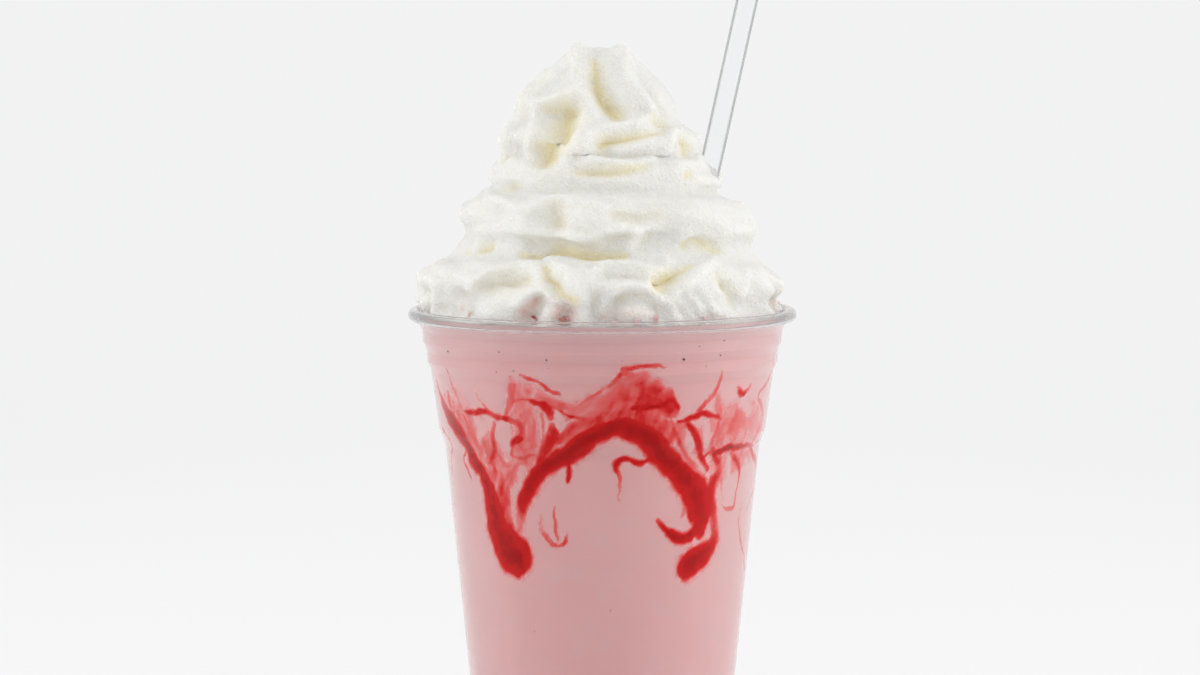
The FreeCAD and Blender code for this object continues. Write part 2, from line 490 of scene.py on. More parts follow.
def mottle_group() -> NodeTree:
    """Shader group of soft blotches: a mask, and a fine grain for a bump's height."""
    found = bpy.data.node_groups.get("mottle")
    if found:
        return found
    sizes = {"Blotch Size": 0.01, "Grain Size": 0.001, "Contrast": 0.5}
    masks = {"Mask": "NodeSocketFloat", "Height": "NodeSocketFloat"}
    tree, entry, leave = new_group("mottle", "ShaderNodeTree", sizes, masks)
    place = tree.add("ShaderNodeTexCoord").outputs["Object"]
    scale = tree.math("DIVIDE", 1.0, entry["Blotch Size"])
    blotch = tree.out("ShaderNodeTexNoise", {"Vector": place, "Scale": scale, "Detail": 4.0})
    half = tree.math("MULTIPLY", entry["Contrast"], 0.5)
    low, high = tree.math("SUBTRACT", 0.5, half), tree.math("ADD", 0.5, half)
    mask = tree.out("ShaderNodeMapRange", {"Value": blotch, "From Min": low, "From Max": high})
    fine = tree.math("DIVIDE", 1.0, entry["Grain Size"])
    grain = tree.out("ShaderNodeTexNoise", {"Vector": place, "Scale": fine, "Detail": 3.0})
    tree.join(mask, leave["Mask"])
    tree.join(grain, leave["Height"])
    return tree.tree


def add_mottle(tree: Tree, blotch: float, grain: float, contrast: float = 0.5) -> Node:
    """Places the mottle group in a material.

    Args:
        tree: The material's tree.
        blotch: Size of the blotches, in metres.
        grain: Size of the grain, in metres.
        contrast: How much of the noise's range the mask spans.

    Returns:
        The group's node.
    """
    sizes = {"Blotch Size": blotch, "Grain Size": grain, "Contrast": contrast}
    return tree.add("ShaderNodeGroup", sizes, node_tree=mottle_group())


def start_geometry(name: str, inputs: dict) -> tuple[Tree, Sockets, Sockets]:
    """Starts a Geometry Nodes tree.

    Args:
        name: Name of the tree.
        inputs: Socket name to its default number, beside the geometry and its material.

    Returns:
        The tree, the sockets that bring the inputs in and those that take the outputs.
    """
    shape = {"Geometry": "NodeSocketGeometry"}
    sockets = {**shape, "Material": "NodeSocketMaterial", **inputs}
    return new_group(name, "GeometryNodeTree", sockets, shape)


def end_geometry(tree: Tree, geometry: Socket, entry: Sockets, leave: Sockets) -> NodeTree:
    """Gives the geometry its material, hands it out and returns the finished tree."""
    values = {"Geometry": geometry, "Material": entry["Material"]}
    tree.join(tree.out("GeometryNodeSetMaterial", values), leave["Geometry"])
    return tree.tree


def push_points(
    tree: Tree, geometry: Socket, size: Socket, amount: Socket, seed: Socket | None = None
) -> Socket:
    """Pushes the points of a geometry about by smooth noise.

    Args:
        tree: Tree that the nodes go into.
        geometry: The geometry.
        size: Size of the noise's lumps.
        amount: How far the points are pushed.
        seed: Picks the noise, if there is more than one to pick from.

    Returns:
        The pushed geometry.
    """
    place = tree.out("GeometryNodeInputPosition")
    inputs = {"Vector": place, "Scale": tree.math("DIVIDE", 1.0, size), "Detail": 1.0}
    if seed is not None:
        inputs["W"] = seed
    dimensions = "3D" if seed is None else "4D"
    cloud = tree.add("ShaderNodeTexNoise", inputs, noise_dimensions=dimensions).outputs["Color"]
    centred = tree.vector("SUBTRACT", {0: cloud, 1: (0.5, 0.5, 0.5)})
    push = tree.vector("SCALE", {0: centred, "Scale": amount})
    return tree.out("GeometryNodeSetPosition", {"Geometry": geometry, "Offset": push})


def run_tree(piece: Piece, tree: NodeTree, values: dict) -> None:
    """Runs a Geometry Nodes tree on a piece and keeps the result as its plain mesh.

    Args:
        piece: Object whose mesh feeds the tree.
        tree: The tree.
        values: Input name to its value.
    """
    modifier = piece.modifiers.new(tree.name, "NODES")
    modifier.node_group = tree
    for item in tree.interface.items_tree:
        if item.item_type == "SOCKET" and item.in_out == "INPUT" and item.name in values:
            modifier[item.identifier] = values[item.name]
    apply_modifiers(piece)


# ---- finishes


class Finish:
    """Finish of a piece; each kind of finish places the nodes of its own shader."""

    name: str

    def make(self) -> bpy.types.Material:
        """Builds the material."""
        material = bpy.data.materials.new(self.name)
        material.use_nodes = True
        material.node_tree.nodes.clear()
        tree = Tree(material.node_tree)
        output = tree.add("ShaderNodeOutputMaterial")
        tree.join(self.shader(tree), output.inputs["Surface"])
        return material

    def shader(self, tree: Tree) -> Socket:
        """Places the nodes of the surface.

        Args:
            tree: The material's tree.

        Returns:
            The shader that the material shows.
        """
        raise NotImplementedError


@dataclass(frozen=True)
class ClearPlastic(Finish):
    """Clear pressed plastic, faintly uneven; light that falls through it isn't held back.

    Its edges darken into a painted dark reflection where the wall is seen from the side and its
    painted_edge_reflection attribute is 1. Haze is a faint veil of scattered light on the wall.
    """

    name: str
    tint: Color = (0.985, 0.99, 0.99, 1.0)
    # Colour of the painted dark reflection at the edges.
    edge: Color = (0.25, 0.245, 0.24, 1.0)
    edge_from: float = 0.3
    edge_to: float = 0.95
    ior: float = 1.25
    mirror: float = 0.7
    haze: float = 0.0
    haze_roughness: float = 0.35
    ripple_size: float = 20.0
    ripple: float = 0.004

    def shader(self, tree: Tree) -> Socket:
        """Clear wall that lets shadow rays through."""
        mottle = add_mottle(tree, self.ripple_size * MM, self.ripple_size / 2 * MM)
        # Painted dark reflection where the wall is seen from the side.
        facing = tree.add("ShaderNodeLayerWeight", {"Blend": 0.5}).outputs["Facing"]
        grazing = tree.span(facing, self.edge_from, self.edge_to)
        edge = tree.math("MULTIPLY", grazing, tree.attribute("painted_edge_reflection"))
        body = tree.body({
            "Base Color": tree.mix(edge, self.tint, self.edge),
            "Roughness": tree.span(mottle.outputs["Mask"], 0.0, 1.0, 0.01, 0.03),
            "IOR": self.ior,
            "Specular Tint": (self.mirror, self.mirror, self.mirror, 1.0),
            "Sheen Weight": self.haze,
            "Sheen Roughness": self.haze_roughness,
            "Transmission Weight": 1.0,
            "Normal": tree.bump(mottle.outputs["Height"], self.ripple, MM),
        })
        clear = tree.out("ShaderNodeBsdfTransparent", {"Color": self.tint})
        shadow = tree.add("ShaderNodeLightPath").outputs["Is Shadow Ray"]
        return tree.blend(shadow, body, clear)


@dataclass(frozen=True)
class MilkyDrink(Finish):
    """Blended strawberry drink: even pink with faint paler blotches, froth, syrup stains and painted
    shade lines along the cup's steps.

    A soft sheen and a rough coat keep its steep sides as pale as a milky drink's are.
    """

    name: str = "strawberry_milk"
    deep: Color = (0.715, 0.325, 0.325, 1.0)
    pale: Color = (0.745, 0.365, 0.365, 1.0)
    # Colour of the syrup stains, also of the painted shade lines along the cup's steps.
    stain: Color = (0.66, 0.16, 0.16, 1.0)
    foam: Color = (0.66, 0.44, 0.44, 1.0)

    def shader(self, tree: Tree) -> Socket:
        """Pink body with scattered light just under its surface."""
        mottle = add_mottle(tree, 20.0 * MM, 0.6 * MM, 0.6)
        color = tree.mix(mottle.outputs["Mask"], self.deep, self.pale)
        color = tree.mix(tree.attribute("froth"), color, self.foam)
        # The stain attribute holds syrup stains and painted shade lines along the cup's steps.
        return tree.body({
            "Base Color": tree.mix(tree.attribute("stain"), color, self.stain),
            "Roughness": 0.45,
            "Specular IOR Level": 0.0,
            "Sheen Weight": 1.0,
            "Sheen Roughness": 0.7,
            "Coat Weight": 0.9,
            "Coat Roughness": 0.3,
            "Coat IOR": 1.5,
            "Subsurface Weight": 0.25,
            "Subsurface Radius": (1.0, 0.55, 0.5),
            "Subsurface Scale": 1.5 * MM,
            "Normal": tree.bump(mottle.outputs["Height"], 0.15, 0.1 * MM),
        })


@dataclass(frozen=True)
class SyrupFinish(Finish):
    """Strawberry syrup: clear and light where it is a thin veil, dark red where it is deep.

    A span gives the depths over which the next colour comes in, or over which the syrup turns
    from clear to solid.
    """

    name: str = "strawberry_syrup"
    veil: Color = (0.86, 0.27, 0.27, 1.0)
    thin: Color = (0.78, 0.085, 0.08, 1.0)
    middle: Color = (0.64, 0.008, 0.009, 1.0)
    core: Color = (0.39, 0.002, 0.003, 1.0)
    thin_span: Span = (0.15, 0.45)
    middle_span: Span = (0.45, 0.75)
    core_span: Span = (0.8, 1.06)
    solid_span: Span = (0.04, 0.62)
    solid_power: float = 0.75

    def shader(self, tree: Tree) -> Socket:
        """Layer whose colour and clearness follow its depth."""
        mottle = add_mottle(tree, 2.2 * MM, 0.5 * MM)
        uneven = tree.math("MULTIPLY_ADD", mottle.outputs["Mask"], 0.2, 0.9)
        grain = tree.math("MULTIPLY_ADD", mottle.outputs["Height"], 0.5, 0.75)
        thick = tree.math("MULTIPLY", tree.math("MULTIPLY", tree.attribute("depth"), uneven), grain)
        color = tree.mix(tree.span(thick, *self.thin_span), self.veil, self.thin)
        color = tree.mix(tree.span(thick, *self.middle_span), color, self.middle)
        color = tree.mix(tree.span(thick, *self.core_span), color, self.core)
        return tree.body({
            "Base Color": color,
            "Roughness": tree.span(mottle.outputs["Mask"], 0.0, 1.0, 0.3, 0.45),
            "Specular IOR Level": 0.0,
            "Alpha": tree.math("POWER", tree.span(thick, *self.solid_span), self.solid_power),
        })


@dataclass(frozen=True)
class WhippedFinish(Finish):
    """Airy whipped cream: warm white with a fine foam grain, painted warm shade in its creases and
    painted shade in its pits.
    """

    name: str = "whipped_cream_foam"
    white: Color = (0.855, 0.85, 0.82, 1.0)
    shade: Color = (0.835, 0.825, 0.785, 1.0)
    # Painted warm shade for the hollows and creases.
    crease: Color = (0.90, 0.81, 0.54, 1.0)
    # Painted shade for the low pits of the foam grain.
    pit_shade: Color = (0.79, 0.78, 0.75, 1.0)
    juice: Color = (0.68, 0.23, 0.16, 1.0)

    def shader(self, tree: Tree) -> Socket:
        """White body with deeply scattered light, painted shade in its hollows and foam pits, and juice
        stains.
        """
        mottle = add_mottle(tree, 11.0 * MM, 0.75 * MM, 0.6)
        color = tree.mix(mottle.outputs["Mask"], self.white, self.shade)
        # Painted warm shade in the hollows and creases.
        color = tree.mix(tree.attribute("hollow_shade"), color, self.crease)
        # Painted shade where the foam grain's bump is low.
        color = tree.mix(tree.span(mottle.outputs["Height"], 0.5, 0.3, 0.0, 0.4), color, self.pit_shade)
        return tree.body({
            "Base Color": tree.mix(tree.attribute("juice"), color, self.juice),
            "Roughness": 0.62,
            "Specular IOR Level": 0.2,
            "Subsurface Weight": 0.85,
            "Subsurface Radius": (1.0, 0.93, 0.82),
            "Subsurface Scale": 2.8 * MM,
            "Normal": tree.bump(mottle.outputs["Height"], 1.0, 0.9 * MM),
        })


@dataclass(frozen=True)
class SpeckFinish(Finish):
    """Small seed or crushed berry; each bit's shade attribute says how dark it is."""

    name: str
    light: Color
    dark: Color
    roughness: float = 0.5

    def shader(self, tree: Tree) -> Socket:
        """Spotted body between the light and the dark colour."""
        mottle = add_mottle(tree, 2.0 * MM, 0.2 * MM)
        spots = tree.math("MULTIPLY_ADD", mottle.outputs["Mask"], 0.3, -0.15)
        share = tree.math("ADD", tree.attribute("shade"), spots, clamp=True)
        color = tree.mix(share, self.light, self.dark)
        return tree.body({"Base Color": color, "Roughness": self.roughness})


CUP_PLASTIC = ClearPlastic("clear_cup_wall", haze=0.6)
# The straw's painted dark edge reflection is darker.
STRAW_PLASTIC = ClearPlastic(
    "clear_straw_wall", edge=(0.12, 0.12, 0.12, 1.0), edge_from=0.28, edge_to=0.85
)
SPECK_SKIN = SpeckFinish("speck_skin", (0.62, 0.2, 0.2, 1.0), (0.05, 0.012, 0.02, 1.0))
BERRY_FLESH = SpeckFinish("berry_flesh", (0.86, 0.66, 0.64, 1.0), (0.42, 0.055, 0.03, 1.0))


# ---- cup, drink and straw


@dataclass
class Cup:
    """Clear cup: rolled rim, stacking steps, collar, shoulder, straight taper and recessed foot."""

    rim_diameter: float
    height: float
    base_diameter: float = 59.0
    wall: float = 0.5
    bead_radius: float = 1.55
    curl_sweep: float = 300.0
    step_count: int = 3
    step_out: float = 0.93
    step_rise: float = 2.3
    band_height: float = 2.8
    band_taper: float = 0.15
    collar_height: float = 14.5
    collar_taper: float = 1.95
    shoulder_rise: float = 4.0
    shoulder_out: float = 1.5
    foot_width: float = 3.0
    foot_recess: float = 3.0
    corner_radius: float = 1.2
    step_corner_radius: float = 0.7
    # Heights above the foot of the rolled rim over which the painted dark edge reflection comes in.
    edge_reflection_fade: Span = (-0.3, 0.5)
    curl_steps: int = 28
    segments: int = 192

    def throat_radius(self) -> float:
        """Outer radius of the wall just under the rolled rim."""
        return self.rim_diameter / 2 - 2 * self.bead_radius + self.wall

    def step_feet(self) -> list[float]:
        """Heights of the lower corners of the stacking steps."""
        first = self.height - 2 * self.bead_radius - self.step_rise
        return [first - step * (self.step_rise + self.band_height) for step in range(self.step_count)]

    def outer_line(self) -> Array:
        """Outer face in section, from the middle of the floor out and up to the rolled rim."""
        radius, height = self.throat_radius(), self.height - self.bead_radius
        corners = [(radius, height, 0.0)]
        height -= self.bead_radius
        for step in range(self.step_count):
            corners.append((radius, height, self.step_corner_radius))
            radius, height = radius - self.step_out, height - self.step_rise
            corners.append((radius, height, self.step_corner_radius))
            if step < self.step_count - 1:
                radius, height = radius - self.band_taper, height - self.band_height
        radius, height = radius - self.collar_taper, height - self.collar_height
        corners.append((radius, height, self.corner_radius))
        radius, height = radius - self.shoulder_out, height - self.shoulder_rise
        corners.append((radius, height, self.corner_radius))
        foot = self.base_diameter / 2
        inside = foot - self.foot_width
        corners.append((foot, 0.0, self.corner_radius))
        corners.append((inside, 0.0, self.corner_radius))
        corners.append((inside - self.foot_recess / 2, self.foot_recess, self.corner_radius))
        corners.append((0.0, self.foot_recess, 0.0))
        return round_corners(corners[::-1])

    def curl_line(self) -> Array:
        """Inner face of the rolled rim, over the top, outwards and back under."""
        radius = self.bead_radius - self.wall
        turn = np.radians(180 - np.linspace(0, self.curl_sweep, self.curl_steps))[1:]
        middle = (self.throat_radius() + radius, self.height - self.bead_radius)
        return np.column_stack([middle[0] + radius * np.cos(turn), middle[1] + radius * np.sin(turn)])

    def inner_line(self, reach: float) -> Array:
        """Line inside the wall, floor to rim.

        Args:
            reach: How far the line lies inside the wall's thickness, from its inner face.

        Returns:
            Rows of (radius, height).
        """
        return offset_line(self.outer_line(), self.wall - reach)

    def build(self, finish: ClearPlastic) -> Piece:
        """Makes the cup as one closed wall.

        Args:
            finish: Clear plastic of the wall.

        Returns:
            The cup.
        """
        outer = np.vstack([self.outer_line(), self.curl_line()])
        inner = offset_line(outer, self.wall)
        outer[0, 0] = inner[0, 0] = 0.0
        section = np.vstack([outer, inner[::-1]])
        vertices, faces = turn_section(section, self.segments)
        cup = make_object("clear_cup", vertices, faces)
        # Only the rolled rim gets the painted dark edge reflection.
        above = vertices[:, 2] - (self.height - 2 * self.bead_radius)
        add_attribute(cup, "painted_edge_reflection", ease(above, *self.edge_reflection_fade))
        cup.data.materials.append(finish.make())
        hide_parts("cup")
        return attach(cup, "root")


@dataclass
class Drink:
    """Milkshake that fills the cup, reaches just into its wall and clings to it at the edge.

    Above plain_below, where syrup can stain it, its rings are no more than ring_gap apart.
    """

    cup: Cup
    level: float
    reach: float = 0.15
    film_height: float = 1.1
    film_width: float = 1.6
    film_shares: tuple[float, ...] = (0.2, 0.45, 0.7, 1.0)
    surface_shares: tuple[float, ...] = (0.9, 0.8, 0.6, 0.4, 0.2)
    plain_below: float = 60.0
    ring_gap: float = 0.7
    lump_size: float = 3.0
    lump_height: float = 0.35
    lump_seed: int = 11
    still_edge: float = 1.0
    stained_from: float = 30.0
    # Painted shade lines along the cup's stacking steps: strength and half width.
    step_shade_depth: float = 0.15
    step_shade_width: float = 0.55
    froth_depth: float = 8.0
    froth_top: float = 0.55
    froth_streaks: float = 0.25
    streak_size: float = 7.0
    streak_seed: int = 19
    segments: int = 350

    def section(self) -> Array:
        """Section from the middle of the floor, up the wall and back over the surface."""
        line = self.cup.inner_line(self.reach)
        line[0, 0] = 0.0
        below = line[line[:, 1] < self.level]
        top = line[np.argmax(line[:, 1] >= self.level)]
        edge = np.array([top[0], self.level + self.film_height])
        dense = [below[0]]
        for first, second in zip(below, np.vstack([below[1:], [edge]])):
            run = np.linalg.norm(second - first)
            steps = 1 if second[1] < self.plain_below else max(1, round(run / self.ring_gap))
            dense += [first + (second - first) * step / steps for step in range(1, steps + 1)]
        film = [
            (edge[0] - self.film_width * share, self.level + self.film_height * (1 - share) ** 2)
            for share in self.film_shares
        ]
        inward = [(edge[0] * share, self.level) for share in self.surface_shares]
        return np.vstack([dense, film, inward, [(0.0, self.level)]])

    def build(self, finish: MilkyDrink, syrup: "Syrup") -> Piece:
        """Makes the drink and marks where syrup has coloured it.

        Args:
            finish: The drink's finish.
            syrup: Syrup whose thin veil tints the drink.

        Returns:
            The drink.
        """
        vertices, faces = turn_section(self.section(), self.segments)
        drink = make_object("milkshake_fill", vertices, faces)
        radius = np.hypot(vertices[:, 0], vertices[:, 1])
        angle = np.degrees(np.arctan2(vertices[:, 0], -vertices[:, 1]))
        lumps = layered_noise(vertices, self.lump_size, self.lump_seed)
        inside = radius < self.cup.throat_radius() - self.still_edge
        on_top = (vertices[:, 2] > self.level - 0.01) & inside
        vertices[:, 2] += np.where(on_top, self.lump_height * lumps, 0.0)
        place_vertices(drink, vertices)
        # Syrup stains and painted shade lines along the cup's steps.
        add_attribute(drink, "stain", self.stain(angle, vertices[:, 2], radius, syrup))
        add_attribute(drink, "froth", self.froth(angle, vertices[:, 2]))
        drink.data.materials.append(finish.make())
        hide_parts("milkshake")
        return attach(drink, "root")

    def stain(self, angle: Array, height: Array, radius: Array, syrup: "Syrup") -> Array:
        """How strongly syrup stains the drink, plus painted shade lines along the cup's stacking steps.
        """
        stain_and_step_shade = syrup.stain(angle, height) * (radius > self.stained_from)
        # Painted shade: darker lines where the cup's stacking steps are.
        for line in self.cup.step_feet():
            stain_and_step_shade += self.step_shade_depth * np.exp(-(((height - line) / self.step_shade_width) ** 2))
        return stain_and_step_shade

    def froth(self, angle: Array, height: Array) -> Array:
        """How frothy the drink is: most at its surface, and in faint streaks round the wall."""
        flat = np.column_stack([angle * 0.75, height * 1.6])
        streaks = layered_noise(flat, self.streak_size, self.streak_seed)
        top = ease(height, self.level - self.froth_depth, self.level) * self.froth_top
        return np.clip(top + self.froth_streaks * ease(streaks, 0.1, 0.9), 0.0, 1.0)


@dataclass
class Straw:
    """Square-cut clear tube that stands on the cup's floor and leans towards +X."""

    diameter: float = 5.4
    wall: float = 0.3
    length: float = 226.0
    lean: float = 12.35
    foot: tuple[float, float] = (-9.7, 1.0)
    floor_height: float = 3.5
    end_guard: float = 0.12
    end_run: float = 5.0
    stops: int = 12
    segments: int = 96

    def tube_tree(self) -> NodeTree:
        """Geometry Nodes tree that runs a ring-shaped wall along a line of edges."""
        numbers = {"Outer Radius": 0.003, "Wall": 0.0003, "Around": 64}
        tree, entry, leave = start_geometry("tube", numbers)
        line = tree.out("GeometryNodeMeshToCurve", {"Mesh": entry["Geometry"]})
        inner = tree.math("SUBTRACT", entry["Outer Radius"], entry["Wall"])
        walls = []
        for radius in (entry["Outer Radius"], inner):
            circle = {"Resolution": entry["Around"], "Radius": radius}
            ring = tree.out("GeometryNodeCurvePrimitiveCircle", circle)
            walls.append(tree.out("GeometryNodeCurveToMesh", {"Curve": line, "Profile Curve": ring}))
        both = tree.add("GeometryNodeJoinGeometry")
        for part in (walls[0], tree.out("GeometryNodeFlipFaces", {"Mesh": walls[1]})):
            tree.join(part, both.inputs[0])
        real = tree.out("GeometryNodeRealizeInstances", {"Geometry": both.outputs[0]})
        return end_geometry(tree, real, entry, leave)

    def stations(self) -> Array:
        """Distances of the tube's rings from its lower end, close together near both ends."""
        guards = np.array([0.0, self.end_guard, 3 * self.end_guard])
        between = np.linspace(self.end_run, self.length - self.end_run, self.stops)
        return np.concatenate([guards, between, self.length - guards[::-1]])

    def build(self, finish: ClearPlastic) -> Piece:
        """Makes the straw.

        Args:
            finish: Clear plastic of the straw.

        Returns:
            The straw.
        """
        lean = math.radians(self.lean)
        low = self.floor_height + self.diameter / 2 * math.sin(lean)
        start = np.array([self.foot[0], self.foot[1], low])
        along = np.array([math.sin(lean), 0.0, math.cos(lean)])
        straw = make_line("clear_straw", start + self.stations()[:, None] * along)
        values = {
            "Outer Radius": self.diameter / 2 * MM,
            "Wall": self.wall * MM,
            "Around": self.segments,
            "Material": finish.make(),
        }
        run_tree(straw, self.tube_tree(), values)
        self.close_ends(straw, start, along)
        # The whole straw gets the painted dark edge reflection.
        add_attribute(straw, "painted_edge_reflection", np.ones(len(straw.data.vertices)))
        straw.data.shade_smooth()
        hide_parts("straw")
        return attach(straw, "root")

    def close_ends(self, straw: Piece, start: Array, along: Array) -> None:
        """Joins the outer and the inner wall at both ends with flat rings.

        Args:
            straw: The straw, whose two walls are still apart.
            start: Middle of the lower end.
            along: Direction of the straw.
        """
        shape = bmesh.new()
        shape.from_mesh(straw.data)
        loose = [edge for edge in shape.edges if edge.is_boundary]
        for far in (False, True):
            ring = [
                edge for edge in loose
                if ((np.array(edge.verts[0].co) / MM - start) @ along > self.length / 2) == far
            ]
            bmesh.ops.bridge_loops(shape, edges=ring)
        bmesh.ops.recalc_face_normals(shape, faces=shape.faces)
        shape.to_mesh(straw.data)
        shape.free()


# ---- syrup


class Flow(Enum):
    """What a run does to the layer: lays syrup down or leaves the drink bare."""

    SYRUP = "syrup"
    BARE = "bare"


@dataclass(frozen=True)
class Run:
    """Run on the wall: stations of degrees round from the front, height, half width and depth."""

    stations: tuple[Four, ...]
    flow: Flow = Flow.SYRUP


